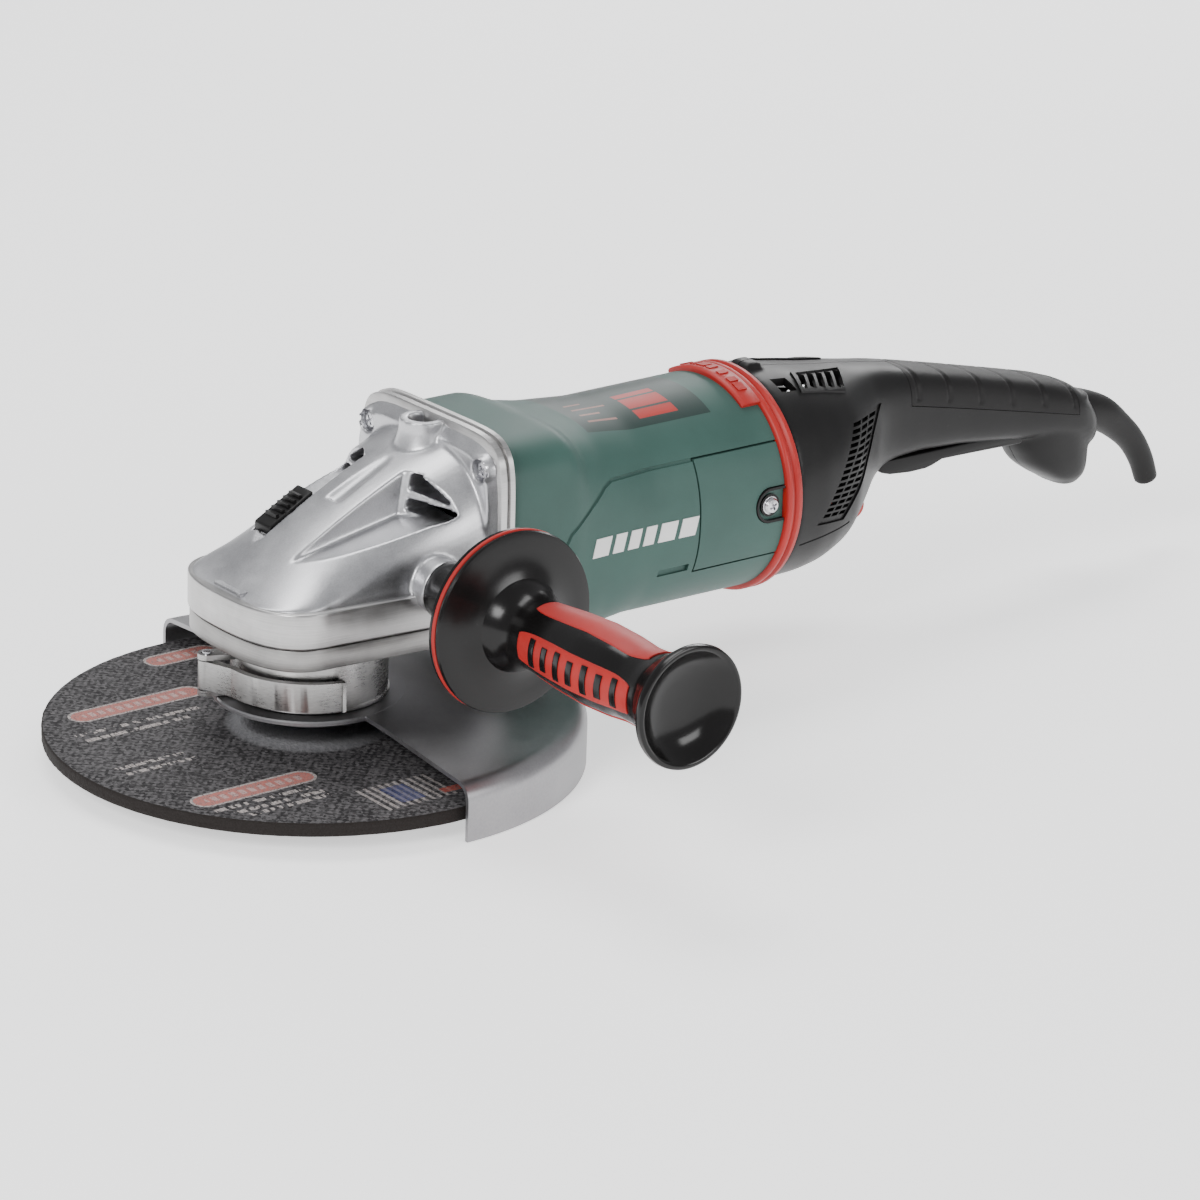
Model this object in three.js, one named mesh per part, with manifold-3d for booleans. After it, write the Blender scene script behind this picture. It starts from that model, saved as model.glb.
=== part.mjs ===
// Two-handed angle grinder for a 230 mm disc.
// Millimetres, +Z up. The spindle axis is Z, and the origin is the centre of the spindle's free end.
// The motor axis runs along +X towards the rear handle. The side handle points along -Y.
import * as THREE from 'three';
import { mergeVertices } from 'three/addons/utils/BufferGeometryUtils.js';
import Module from 'manifold-3d';

const wasm = await Module();
wasm.setup();

// ---------- driving dimensions ----------
const gap = 0.3; // clearance between touching pieces
const motorZ = 79; // height of the motor axis
const disc = { radius: 115, bottom: 2, thickness: 6, hubRise: 4.5, hubRadius: 27, slopeRadius: 35, bore: 11.1 };
const spindleTop = 94;
const neck = { radius: 30.3, bottom: 31, collarIn: 30.7, collarOut: 34, collarBottom: 24.3, collarTop: 49.4 };
const lip = { bottom: 60, top: 76, inset: 3 }; // machined band round the gear housing
const nose = { x: -47, from: -18, halfWidth: 44.5, power: 2.6, widening: 7.5 / 80, steps: 8 };
const roof = { start: -44, z: 75, length: 106, slope: 0.515, bulge: 4, power: 1.5, squaring: 1.35, steps: 10 };
const ridgeY = 13.5; // half-width of the raised spine on the gear housing
const rearFlange = { x0: 62, x1: 69.5, halfWidth: 52, top: 138, bottom: 30, power: 7 };
const topBoss = { x: 58, radius: 10.5, top: 136, bore: 7 };
const sideBoss = { x: 32.3, z: 78.5, radius: 12, y: 54, bore: 7 };
const bearingPlate = { top: 59.7, bottom: 50, rearX: 42, inset: 0.8 };
const guardSize = { radius: 120.5, sheet: 2, hub: 42, topZ: 24, rimZ: 19.5, bottom: -6, corner: 8 };
const lever = { inner: 36.5, thick: 3, bottom: 27.3, top: 40, pivotR: 45, pivotAngle: 158, endAngle: 237 };
const lock = { x: 0, y: 16.5, pin: 2.3, holes: 4, travel: 4 };
const lockCap = { x0: -11, x1: 12, y0: 15.2, y1: 27.5, top: 1.5, bottom: 5.5 }; // heights below the roof
const gear = { inner: 22, outer: 34, ratio: 4, pinionTeeth: 8 };
const tooth = { addendum: 0.42, dedendum: 0.62, slim: 0.32, flare: 0.13, taper: 0.09 }; // shares of the pitch
const body = { x0: 70, x1: 222, wall: 3 };
const ring = { x0: 222.3, x1: 231 };
const handleStart = 231.4;
const shellWall = 3.6;

// ---------- small helpers ----------
const vec = (x, y, z) => new THREE.Vector3(x, y, z);
const radians = THREE.MathUtils.degToRad;

// Keeps only positions, merges shared corners, drops empty triangles and turns the faces outwards.
function closed(geometry) {
  const bare = geometry.clone();
  bare.deleteAttribute('normal');
  bare.deleteAttribute('uv');
  const merged = mergeVertices(bare, 1e-4);
  const source = merged.index.array;
  const triangles = [];
  for (let i = 0; i < source.length; i += 3) {
    const [a, b, c] = [source[i], source[i + 1], source[i + 2]];
    if (a !== b && b !== c && c !== a) triangles.push(a, b, c);
  }
  if (signedVolume(merged.attributes.position, triangles) < 0) triangles.reverse();
  merged.setIndex(triangles);
  return merged;
}

function signedVolume(position, triangles) {
  const [a, b, c] = [vec(), vec(), vec()];
  let total = 0;
  for (let i = 0; i < triangles.length; i += 3) {
    a.fromBufferAttribute(position, triangles[i]);
    b.fromBufferAttribute(position, triangles[i + 1]);
    c.fromBufferAttribute(position, triangles[i + 2]);
    total += a.dot(b.cross(c)) / 6;
  }
  return total;
}

// A solid for joining and cutting, made from a geometry or passed on as it is.
function toSolid(shape) {
  if (shape instanceof wasm.Manifold) return shape;
  const { attributes, index } = closed(shape);
  return new wasm.Manifold(new wasm.Mesh({
    numProp: 3,
    vertProperties: new Float32Array(attributes.position.array),
    triVerts: new Uint32Array(index.array),
  }));
}

function toGeometry(solid) {
  const mesh = solid.getMesh();
  const geometry = new THREE.BufferGeometry();
  geometry.setAttribute('position', new THREE.BufferAttribute(mesh.vertProperties, mesh.numProp));
  geometry.setIndex(new THREE.BufferAttribute(mesh.triVerts, 1));
  return geometry;
}

const join = (first, ...others) => others.reduce((whole, next) => whole.add(toSolid(next)), toSolid(first));
const cut = (first, ...tools) => tools.reduce((rest, tool) => rest.subtract(toSolid(tool)), toSolid(first));
const common = (first, second) => toSolid(first).intersect(toSolid(second));

function box(x0, x1, y0, y1, z0, z1) {
  const geometry = new THREE.BoxGeometry(x1 - x0, y1 - y0, z1 - z0);
  return geometry.translate((x0 + x1) / 2, (y0 + y1) / 2, (z0 + z1) / 2);
}

// Revolves a profile of [radius, height] points about Z.
function turned(profile, segments = 24, x = 0, y = 0) {
  const points = profile.map(([r, z]) => new THREE.Vector2(r, z));
  if (profile[0][0] > 0) points.push(points[0].clone());
  return new THREE.LatheGeometry(points, segments).rotateX(Math.PI / 2).translate(x, y, 0);
}

// The same about the motor axis, with profile points [radius, x].
const turnedX = (profile, segments = 24) => (
  turned(profile, segments).rotateY(Math.PI / 2).translate(0, 0, motorZ));

// The same about an axis along Y through (x, z), with profile points [radius, y].
const turnedY = (profile, segments, x, z) => (
  turned(profile, segments).rotateX(-Math.PI / 2).translate(x, 0, z));

function rod(from, to, radius, segments = 12) {
  const span = to.clone().sub(from);
  const geometry = new THREE.CylinderGeometry(radius, radius, span.length(), segments);
  geometry.applyQuaternion(new THREE.Quaternion().setFromUnitVectors(vec(0, 1, 0), span.normalize()));
  const middle = from.clone().add(to).multiplyScalar(0.5);
  return geometry.translate(middle.x, middle.y, middle.z);
}

// An outline in X and Y, given a height.
function slab(shape, z0, z1, curveSegments = 8) {
  const options = { depth: z1 - z0, bevelEnabled: false, curveSegments };
  return new THREE.ExtrudeGeometry(shape, options).translate(0, 0, z0);
}

// An outline in X and Z, given a thickness along Y.
const slabY = (shape, y0, y1, curveSegments = 8) => (
  slab(shape, 0, y1 - y0, curveSegments).rotateX(Math.PI / 2).translate(0, y1, 0));

// An outline in Y and Z, given a length along X.
const slabX = (shape, x0, x1) => (
  slab(shape, 0, x1 - x0).rotateX(Math.PI / 2).rotateZ(Math.PI / 2).translate(x0, 0, 0));

const outline = (points) => new THREE.Shape(points.map(([x, y]) => new THREE.Vector2(x, y)));

// Skins a stack of rings that all have the same number of points, and closes both ends.
function loft(rings) {
  const sides = rings[0].length;
  const points = rings.flat();
  const index = [];
  for (let row = 0; row < rings.length - 1; row += 1) {
    for (let side = 0; side < sides; side += 1) {
      const a = row * sides + side;
      const b = row * sides + (side + 1) % sides;
      index.push(a, b, b + sides, a, b + sides, a + sides);
    }
  }
  const closeEnd = (ring, first, flip) => {
    const centre = points.length;
    points.push(ring.reduce((sum, point) => sum.add(point), vec(0, 0, 0)).divideScalar(sides));
    for (let side = 0; side < sides; side += 1) {
      const edge = [first + side, first + (side + 1) % sides];
      index.push(centre, ...(flip ? edge : edge.reverse()));
    }
  };
  closeEnd(rings[0], 0, false);
  closeEnd(rings[rings.length - 1], (rings.length - 1) * sides, true);
  return new THREE.BufferGeometry().setFromPoints(points).setIndex(index);
}

const signedPower = (value, power) => Math.sign(value) * Math.abs(value) ** power;

// A rounded section across X. The power runs from 2, an ellipse, up towards a box.
function section({ x, halfWidth, top, bottom, power }, sides = 32) {
  const middle = (top + bottom) / 2;
  const half = (top - bottom) / 2;
  return Array.from({ length: sides }, (_, i) => {
    const angle = (2 * Math.PI * i) / sides;
    const y = halfWidth * signedPower(Math.cos(angle), 2 / power);
    const z = middle + half * signedPower(Math.sin(angle), 2 / power);
    return vec(x, y, z);
  });
}

const shrink = (s, wall) => ({
  ...s, halfWidth: s.halfWidth - wall, top: s.top - wall, bottom: s.bottom + wall,
});
const stations = (table) => table.map(([x, halfWidth, top, bottom, power]) => (
  { x, halfWidth, top, bottom, power }));
const loftSections = (list, wall = 0, sides = 32) => loft(list.map((s) => section(shrink(s, wall), sides)));

const polar = (radius, degrees, z = 0) => (
  vec(radius * Math.cos(radians(degrees)), radius * Math.sin(radians(degrees)), z));
const mirrored = (shape) => toGeometry(toSolid(shape)).scale(1, -1, 1);
const copied = (geometry, x, y, z) => geometry.clone().rotateX(x).rotateY(y).rotateZ(z);

const finishes = {
  castAluminium: [0xc3c3c8, 0.42, 1.0],
  steel: [0xa9abb0, 0.3, 1.0],
  darkSteel: [0x55575c, 0.4, 1.0],
  zinc: [0x97949c, 0.42, 1.0],
  green: [0x2f5550, 0.5, 0.0],
  red: [0xb5302c, 0.5, 0.0],
  black: [0x1d1d1f, 0.45, 0.0],
  rubber: [0x141414, 0.8, 0.0],
  abrasive: [0x3a383b, 0.95, 0.0],
  copper: [0xb0683a, 0.4, 1.0],
  carbon: [0x2a2a2a, 0.9, 0.0],
  nylon: [0x3b4046, 0.6, 0.0],
};

const grinder = new THREE.Group();

function piece(name, shape, finish) {
  const [color, roughness, metalness] = finishes[finish];
  const material = new THREE.MeshStandardMaterial({ color, roughness, metalness });
  const geometry = toGeometry(toSolid(shape));
  geometry.computeVertexNormals();
  const mesh = new THREE.Mesh(geometry, material);
  mesh.name = name;
  grinder.add(mesh);
}

// ---------- gear housing ----------
// Half-width of the gear housing's plan outline at x: a rounded nose, then slowly widening.
function planHalfWidth(x) {
  if (x >= nose.from) return nose.halfWidth + (x - nose.from) * nose.widening;
  const u = Math.min((nose.from - x) / (nose.from - nose.x), 1);
  return nose.halfWidth * (1 - u ** nose.power) ** (1 / nose.power);
}

// The plan outline, drawn in from the full size by an inset and cut straight across at rearX.
function planOutline(inset, rearX) {
  const reach = nose.from - nose.x - inset;
  const half = nose.halfWidth - inset;
  const near = Array.from({ length: nose.steps + 1 }, (_, i) => {
    const turn = Math.cos((Math.PI / 2) * (i / nose.steps));
    const x = nose.from - reach * turn ** (2 / nose.power);
    const u = Math.min((nose.from - x) / reach, 1);
    return [x, half * (1 - u ** nose.power) ** (1 / nose.power)];
  });
  near.push([rearX, planHalfWidth(rearX) - inset]);
  const far = near.slice(1).reverse().map(([x, y]) => [x, -y]);
  return outline([...near, ...far]);
}

function roofZ(x) {
  const t = (x - roof.start) / roof.length;
  return roof.z + roof.slope * (x - roof.start) + roof.bulge * Math.sin(Math.PI * Math.min(t, 1));
}

// A cross-section of the housing's upper body: a flat floor and a rounded roof.
function headRing(x) {
  const { mapLinear } = THREE.MathUtils;
  const half = planHalfWidth(x) - lip.inset;
  const power = roof.power + roof.squaring * ((x - roof.start) / roof.length);
  const rise = Math.max(roofZ(x) - lip.top, 0.4);
  const floorZ = x < 44 ? 66 : mapLinear(x, 44, 64, 60, 33);
  const arch = Array.from({ length: roof.steps + 1 }, (_, i) => {
    const angle = (Math.PI * i) / roof.steps;
    const y = half * signedPower(Math.cos(angle), 2 / power);
    return vec(x, y, lip.top + rise * Math.sin(angle) ** (2 / power));
  });
  return [vec(x, half, floorZ), ...arch, vec(x, -half, floorZ)];
}

// The hollow beside the spine: a steep wall along the ridge, a sloping floor and a slanted rear wall.
function wedgeRecess() {
  const [above, out] = [150, -60];
  const front = [vec(-20, -ridgeY, above), vec(-20, -ridgeY, 88.5), vec(-19.6, out, 93.3),
    vec(-19.6, out, above)];
  const rear = [vec(44, -ridgeY, above), vec(34.4, -14.5, 99.7), vec(55, out, 108.6), vec(60, out, above)];
  return loft([front, rear]);
}

function airWindows() {
  const upper = outline([[-17, 111.3], [-17, 119], [-22, 118.4], [-38, 109.5], [-38, 108.3]]);
  const lower = outline([[-17, 102.5], [-17, 108], [-41, 106], [-41, 103], [-36, 101.5]]);
  return join(slabX(upper, 30, 58), slabX(lower, 30, 58));
}

// The well that the lock button sinks into, with a deeper bore for its spring.
function lockWell() {
  const { x0, x1, y0, y1, bottom } = lockCap;
  const [front, back, depth] = [x0 - 0.5, x1 + 0.5, bottom + lock.travel + 0.5];
  const well = slabY(outline([[front, roofZ(front) - depth], [front, 140], [back, 140],
    [back, roofZ(back) - depth]]), y0 - 0.5, y1 + 0.5);
  return join(well, rod(vec(lock.x, lock.y, 84.8), vec(lock.x, lock.y, 100), 4.6, 12));
}

const frontBearing = { x0: 46, x1: 58, radius: 17.5, bore: 6 };
const flangeScrews = [[-41, 123], [-43, 40], [41, 123], [43, 40]]; // Y and Z
const plateScrews = [[-33, 29], [-33, -29], [31, 38], [31, -38]]; // X and Y

function gearHousing() {
  const xs = [-44, -42, -37, -28, -16, 0, 16, 32, 46, 64];
  const head = loft(xs.map(headRing));
  const band = slab(planOutline(0, 56), lip.bottom, lip.top, 4);
  const flange = loftSections(stations([
    [rearFlange.x0, rearFlange.halfWidth, rearFlange.top, rearFlange.bottom, rearFlange.power],
    [rearFlange.x1, rearFlange.halfWidth, rearFlange.top, rearFlange.bottom, rearFlange.power],
  ]), 0, 28);
  const boss = turned([[0, 116], [topBoss.radius + 1.5, 116], [topBoss.radius, 127],
    [topBoss.radius, topBoss.top], [0, topBoss.top]], 16, topBoss.x, 0);
  const arms = turnedY([[0, -sideBoss.y], [sideBoss.radius, -sideBoss.y], [sideBoss.radius, sideBoss.y],
    [0, sideBoss.y]], 16, sideBoss.x, sideBoss.z);
  const outside = join(head, band, flange, boss, arms);

  const ceiling = [[-39, 72], [-34, 75.6], [-20, 80], [4, 83.4], [18, 90.5], [44, 92]]; // X and Z
  const gearChamber = loft(ceiling.map(([x, top]) => {
    const half = Math.min(planHalfWidth(x) - 8, 41);
    const eaves = Math.min(76, top - 3);
    return [vec(x, half, 59), vec(x, half, eaves), vec(x, half - 8, top), vec(x, 8 - half, top),
      vec(x, -half, eaves), vec(x, -half, 59)];
  }));
  const airChamber = loftSections(stations([
    [51, 42, 119, 60, 5], [56, 44, 124, 50, 6], [61, 46, 130, 38, 6], [72, 46, 130, 36, 6]]), 0, 16);
  const ducts = join(box(40, 56, -40, -17, 96, 108), box(40, 56, -36, -17, 106, 116.5));
  const seatRadius = frontBearing.radius + gap;
  const seatX = frontBearing.x0 - gap;
  const bearingBoss = turnedX([[8.5, 42], [21, 42], [21, 60], [8.5, 60]], 16);
  const bearingSeat = turnedX([[0, 40], [8, 40], [8, seatX], [seatRadius, seatX], [seatRadius, 62], [0, 62]], 20);
  const needleSeat = turned([[0, 70], [10.3, 70], [10.3, 95.5], [0, 95.5]], 16);
  const trough = rod(vec(8, 0, 112), vec(38, 0, 127.5), 7, 12);
  const shell = cut(outside, gearChamber, airChamber, ducts, mirrored(ducts));
  const needleBoss = turned([[10.3, 78], [14, 78], [14, 92], [10.3, 92]], 16);
  const filled = join(shell, bearingBoss, needleBoss);
  const bores = [
    rod(vec(topBoss.x, 0, 119), vec(topBoss.x, 0, 140), topBoss.bore, 16),
    rod(vec(sideBoss.x, -60, sideBoss.z), vec(sideBoss.x, -42.5, sideBoss.z), sideBoss.bore, 16),
    rod(vec(sideBoss.x, 60, sideBoss.z), vec(sideBoss.x, 42.5, sideBoss.z), sideBoss.bore, 16),
    rod(vec(lock.x, lock.y, 70), vec(lock.x, lock.y, 110), lock.pin + gap, 12),
    ...flangeScrews.map(([y, z]) => rod(vec(60, y, z), vec(75, y, z), 2.3, 10)),
    ...plateScrews.map(([x, y]) => rod(vec(x, y, 58), vec(x, y, 69), 2.3, 10)),
  ];
  const screwSeats = flangeScrews.map(([y, z]) => rod(vec(50, y, z), vec(rearFlange.x0, y, z), 4.6, 12));
  return cut(filled, bearingSeat, needleSeat, trough, wedgeRecess(), mirrored(wedgeRecess()), airWindows(),
    mirrored(airWindows()), lockWell(), ...bores, ...screwSeats);
}

piece('gear_housing', gearHousing(), 'castAluminium');

// A pan-head screw standing at a point, with its shank along a direction.
function screw(head, direction, headRadius, headHeight, shankRadius, length) {
  const way = direction.clone().normalize();
  const top = head.clone().addScaledVector(way, -headHeight);
  const tip = head.clone().addScaledVector(way, length);
  return join(rod(top, head, headRadius, 8), rod(top.clone().addScaledVector(way, 0.5), tip, shankRadius, 6));
}

flangeScrews.forEach(([y, z], i) => {
  const solid = screw(vec(rearFlange.x0 - gap, y, z), vec(1, 0, 0), 4.1, 2.6, 2, 12);
  piece(`gear_housing_screw_${i + 1}`, solid, 'steel');
});

// ---------- bearing flange and its bearing ----------
const lowerBearing = { radius: 20, bore: 8.5, z0: 38, z1: 50 };

function bearingFlange() {
  const { inset, rearX, bottom, top } = bearingPlate;
  const plate = slab(planOutline(inset, rearX), bottom, top, 4);
  const tube = turned([[0, neck.bottom], [neck.radius, neck.bottom], [neck.radius, bottom + 1],
    [0, bottom + 1]], 32);
  const seatRadius = lowerBearing.radius + gap;
  const seatZ = lowerBearing.z0 - gap;
  const seat = turned([[0, 20], [17, 20], [17, seatZ], [seatRadius, seatZ], [seatRadius, 62], [0, 62]], 24);
  const holes = plateScrews.map(([x, y]) => join(
    rod(vec(x, y, 48), vec(x, y, 62), 2.3, 10), rod(vec(x, y, 48), vec(x, y, 52.5), 4.6, 12)));
  return cut(join(plate, tube), seat, ...holes);
}

piece('bearing_flange', bearingFlange(), 'castAluminium');
plateScrews.forEach(([x, y], i) => {
  piece(`bearing_flange_screw_${i + 1}`, screw(vec(x, y, 52.2), vec(0, 0, 1), 4.1, 2.4, 2, 14), 'steel');
});

// A sealed bearing as one plain ring.
const ringSection = (inner, outer, from, to) => [[inner, from], [outer, from], [outer, to], [inner, to]];

const ballSection = ringSection(lowerBearing.bore + gap, lowerBearing.radius, lowerBearing.z0, lowerBearing.z1);
piece('spindle_ball_bearing', turned(ballSection), 'steel');
piece('spindle_needle_bearing', turned(ringSection(6 + gap, 10, 84, 94.5), 16), 'steel');

// ---------- spindle, disc and flanges ----------
const hubTop = disc.bottom + disc.thickness + disc.hubRise;

piece('spindle', turned([[0, 0], [6, 0], [7, 1], [7, 19], [8.5, 20], [8.5, 52], [11, 52], [11, 60], [8, 60.3],
  [8, 74], [6, 75], [6, spindleTop], [0, spindleTop]], 20), 'steel');

piece('support_flange', turned([[7 + gap, 8], [disc.bore - gap, 8], [disc.bore - gap, hubTop + gap],
  [21, hubTop + gap], [21, 17], [14, 19], [7 + gap, 19]]), 'darkSteel');

function grindingDisc() {
  const { radius, bottom, thickness, hubRise, hubRadius, slopeRadius, bore } = disc;
  const hubBottom = bottom + hubRise;
  return turned([[bore + 2.3, hubBottom], [hubRadius, hubBottom], [slopeRadius, bottom], [radius, bottom],
    [radius, bottom + thickness], [slopeRadius, bottom + thickness], [hubRadius, hubTop],
    [bore + 2.3, hubTop]], 48);
}

piece('grinding_disc', grindingDisc(), 'abrasive');
piece('disc_bush', turned(ringSection(disc.bore, disc.bore + 2, 6.4, hubTop - 0.1)), 'steel');

function clampNut() {
  const nut = turned([[7 + gap, 1.2], [19, 1.2], [19.5, 2], [19.5, 6], [7 + gap, 6]]);
  const pinHoles = [0, 90, 180, 270].map((angle) => rod(polar(15, angle, 0), polar(15, angle, 4.5), 2.4, 8));
  return cut(nut, ...pinHoles);
}

piece('clamp_nut', clampNut(), 'darkSteel');

// ---------- bevel gears: both cones meet where the spindle and motor axes cross ----------
const crownTeeth = gear.pinionTeeth * gear.ratio;

// One straight bevel tooth, lofted between its small end and its large end. pitchRadius gives the pitch
// circle at a distance from the apex, and place puts the four corners of one end where they belong.
function bevelTooth(teeth, pitchRadius, ends, place) {
  return loft(ends.map((r) => {
    const pitch = (2 * Math.PI * pitchRadius(r)) / teeth;
    const base = pitch * (tooth.slim / 2 + tooth.flare);
    const tip = pitch * (tooth.slim / 2 - tooth.taper);
    return place(r, base, tip, pitch * tooth.dedendum, pitch * tooth.addendum);
  }));
}

function crownGear() {
  const pitchZ = (r) => motorZ - r / gear.ratio;
  const pitchStep = (r) => (2 * Math.PI * r) / crownTeeth;
  const rootZ = (r) => pitchZ(r) - tooth.dedendum * pitchStep(r) + 0.2;
  const blank = turned([[8 + gap, 61], [gear.outer, 61], [gear.outer, rootZ(gear.outer)],
    [gear.inner, rootZ(gear.inner)], [20.5, 66], [12, 66], [12, 71], [8 + gap, 71]], 16);
  const corners = (r, base, tip, sink, rise) => [
    vec(r, -base, pitchZ(r) - sink), vec(r, base, pitchZ(r) - sink),
    vec(r, tip, pitchZ(r) + rise), vec(r, -tip, pitchZ(r) + rise)];
  const oneTooth = bevelTooth(crownTeeth, (r) => r, [gear.inner, gear.outer - 0.5], corners);
  const teeth = Array.from({ length: crownTeeth }, (_, i) => (
    copied(oneTooth, 0, 0, (2 * Math.PI * i) / crownTeeth)));
  const lockHoles = Array.from({ length: lock.holes }, (_, i) => {
    const angle = 90 + (360 * i) / lock.holes;
    return rod(polar(lock.y, angle, 62), polar(lock.y, angle, 68), lock.pin + 0.6, 8);
  });
  return cut(join(blank, ...teeth), ...lockHoles);
}

function pinion() {
  const teeth = gear.pinionTeeth;
  const reach = (r) => r / gear.ratio;
  const pitchStep = (r) => (2 * Math.PI * reach(r)) / teeth;
  const root = (r) => reach(r) - tooth.dedendum * pitchStep(r) + 0.2;
  const front = gear.inner;
  const back = gear.outer - 0.5;
  const blank = turnedX([[2.3, front], [root(front), front], [root(back), back],
    [root(back), back + 4], [2.3, back + 4]], 10);
  const slimmer = 0.82; // the pinion's teeth are a little thinner than the crown gear's
  const oneTooth = bevelTooth(teeth, reach, [front, back], (r, base, tip, sink, rise) => [
    vec(r, -base * slimmer, reach(r) - sink), vec(r, base * slimmer, reach(r) - sink),
    vec(r, tip * slimmer, reach(r) + rise), vec(r, -tip * slimmer, reach(r) + rise)]);
  const around = Array.from({ length: teeth }, (_, i) => (
    copied(oneTooth, Math.PI + (2 * Math.PI * (i + 0.5)) / teeth, 0, 0).translate(0, 0, motorZ)));
  return join(blank, ...around);
}

piece('crown_gear', crownGear(), 'darkSteel');
piece('pinion', pinion(), 'darkSteel');

// ---------- spindle lock ----------
function lockButton() {
  const { x0, x1, y0, y1, top, bottom } = lockCap;
  const side = outline([[x0, roofZ(x0) - bottom], [x0, roofZ(x0) - top], [x1, roofZ(x1) - top],
    [x1, roofZ(x1) - bottom]]);
  const stem = rod(vec(lock.x, lock.y, 68.6), vec(lock.x, lock.y, roofZ(lock.x) - top - 1), lock.pin, 10);
  return join(slabY(side, y0, y1), stem);
}


class Helix extends THREE.Curve {
  constructor(centre, radius, turns, pitch) {
    super();
    Object.assign(this, { centre, radius, turns, pitch });
  }

  getPoint(t, target = vec()) {
    const angle = 2 * Math.PI * this.turns * t;
    const { radius, turns, pitch } = this;
    return target.set(radius * Math.cos(angle), radius * Math.sin(angle), pitch * turns * t).add(this.centre);
  }
}

// A spring drawn at its pressed length, so the cap can come down over it.
function coilSpring(centre, radius, wire, turns, pitch) {
  const extrudePath = new Helix(centre, radius, turns, pitch);
  const options = { steps: turns * 8, bevelEnabled: false, curveSegments: 3, extrudePath };
  return new THREE.ExtrudeGeometry(new THREE.Shape().absarc(0, 0, wire, 0, 2 * Math.PI), options);
}

piece('lock_button', lockButton(), 'black');
piece('lock_spring', coilSpring(vec(lock.x, lock.y, 85.8), 3.6, 0.5, 3, 1), 'steel');

// ---------- guard, its collar and the clamping lever ----------
function guardPlate() {
  const { radius, sheet, hub, topZ, rimZ, bottom, corner } = guardSize;
  const bend = (r, z, size) => Array.from({ length: 3 }, (_, i) => {
    const angle = (Math.PI / 2) * (1 - i / 2);
    return [r - corner + size * Math.cos(angle), z - corner + size * Math.sin(angle)];
  });
  const outside = bend(radius, rimZ, corner);
  const inside = bend(radius, rimZ, corner - sheet).reverse();
  const cover = turned([[neck.collarIn, topZ - sheet], [neck.collarIn, topZ], [hub, topZ], ...outside,
    [radius, bottom], [radius - sheet, bottom], ...inside, [hub, topZ - sheet]], 48);
  // The cover is a half circle; a narrow ring carries it all the way round the neck.
  const front = outline([[0, -43], [-3.5, -125], [-130, -125], [-130, 125], [4, 125], [1.4, 43]]);
  const narrow = turned(ringSection(neck.collarIn, hub, topZ - sheet, topZ), 32);
  return join(cut(cover, slab(front, -20, 40)), narrow);
}

piece('guard', guardPlate(), 'zinc');

const leverPivot = polar(lever.pivotR, lever.pivotAngle);
const atPivot = (radius, z0, z1) => (
  rod(vec(leverPivot.x, leverPivot.y, z0), vec(leverPivot.x, leverPivot.y, z1), radius, 12));

function guardCollar() {
  const band = turned(ringSection(neck.collarIn, neck.collarOut, neck.collarBottom, neck.collarTop), 32);
  const ear = [polar(33, 165), polar(33, 151), polar(46, 153), polar(46, 163)].map((q) => [q.x, q.y]);
  const lug = (z0, z1) => join(atPivot(4, z0, z1), slab(outline(ear), z0, z1));
  return cut(join(band, lug(24.3, 26.7), lug(40.6, 43)), atPivot(2.3, 20, 50));
}

function guardLever() {
  const { inner, thick, bottom, top, endAngle, pivotAngle } = lever;
  const start = pivotAngle + 16;
  const steps = 9;
  const arc = (radius) => Array.from({ length: steps + 1 }, (_, i) => (
    polar(radius, start + ((endAngle - start) * i) / steps)));
  const band = outline([...arc(inner), ...arc(inner + thick).reverse()].map((q) => [q.x, q.y]));
  const root = [polar(inner, start + 4), polar(inner + thick, start + 4), polar(46.5, pivotAngle + 4),
    polar(42, pivotAngle + 1)];
  const web = outline(root.map((q) => [q.x, q.y]));
  const eye = atPivot(3.8, bottom, top);
  return cut(join(slab(band, bottom, top), slab(web, bottom, top), eye), atPivot(2.3, 20, 50));
}

piece('guard_collar', guardCollar(), 'zinc');
piece('guard_lever', guardLever(), 'zinc');
piece('lever_pin', atPivot(2, 24.4, 44), 'steel');

// ---------- motor housing and what it holds ----------
const bodySections = stations([
  [body.x0, 51, 131.5, 30.5, 5], [103, 51, 131.5, 30.5, 5], [109, 50.3, 130, 30.6, 4.4],
  [125, 49, 128, 30.6, 3], [150, 48.3, 127.3, 30.7, 2.3], [body.x1, 50, 129, 29, 2.05]]);
const brushX = 199;
const coverZone = { x0: 174.5, x1: 223, z0: 56, z1: 108 };

function brushWindow(side, margin) {
  const { x0, x1, z0, z1 } = coverZone;
  const [near, far] = side > 0 ? [30, 60] : [-60, -30];
  return box(x0 - margin, x1 + margin, near, far, z0 - margin, z1 + margin);
}

// The same sections with the two ends moved along X, so that a hollow breaks through them.
const stretched = (list, front, rear) => list.map((s, i) => {
  if (i === 0) return { ...s, x: s.x - front };
  return i === list.length - 1 ? { ...s, x: s.x + rear } : s;
});

const bodyOuter = loftSections(bodySections);
const bodyShell = cut(bodyOuter, loftSections(stretched(bodySections, 1, 1), body.wall));

const screwPosts = flangeScrews.map(([y, z]) => rod(vec(body.x0, y, z), vec(86, y, z), 5, 10));
const screwHoles = flangeScrews.map(([y, z]) => rod(vec(60, y, z), vec(80, y, z), 2.3, 8));
const windowed = cut(bodyShell, brushWindow(1, gap / 2), brushWindow(-1, gap / 2));
const housing = join(windowed, common(join(...screwPosts), bodyOuter));

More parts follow.
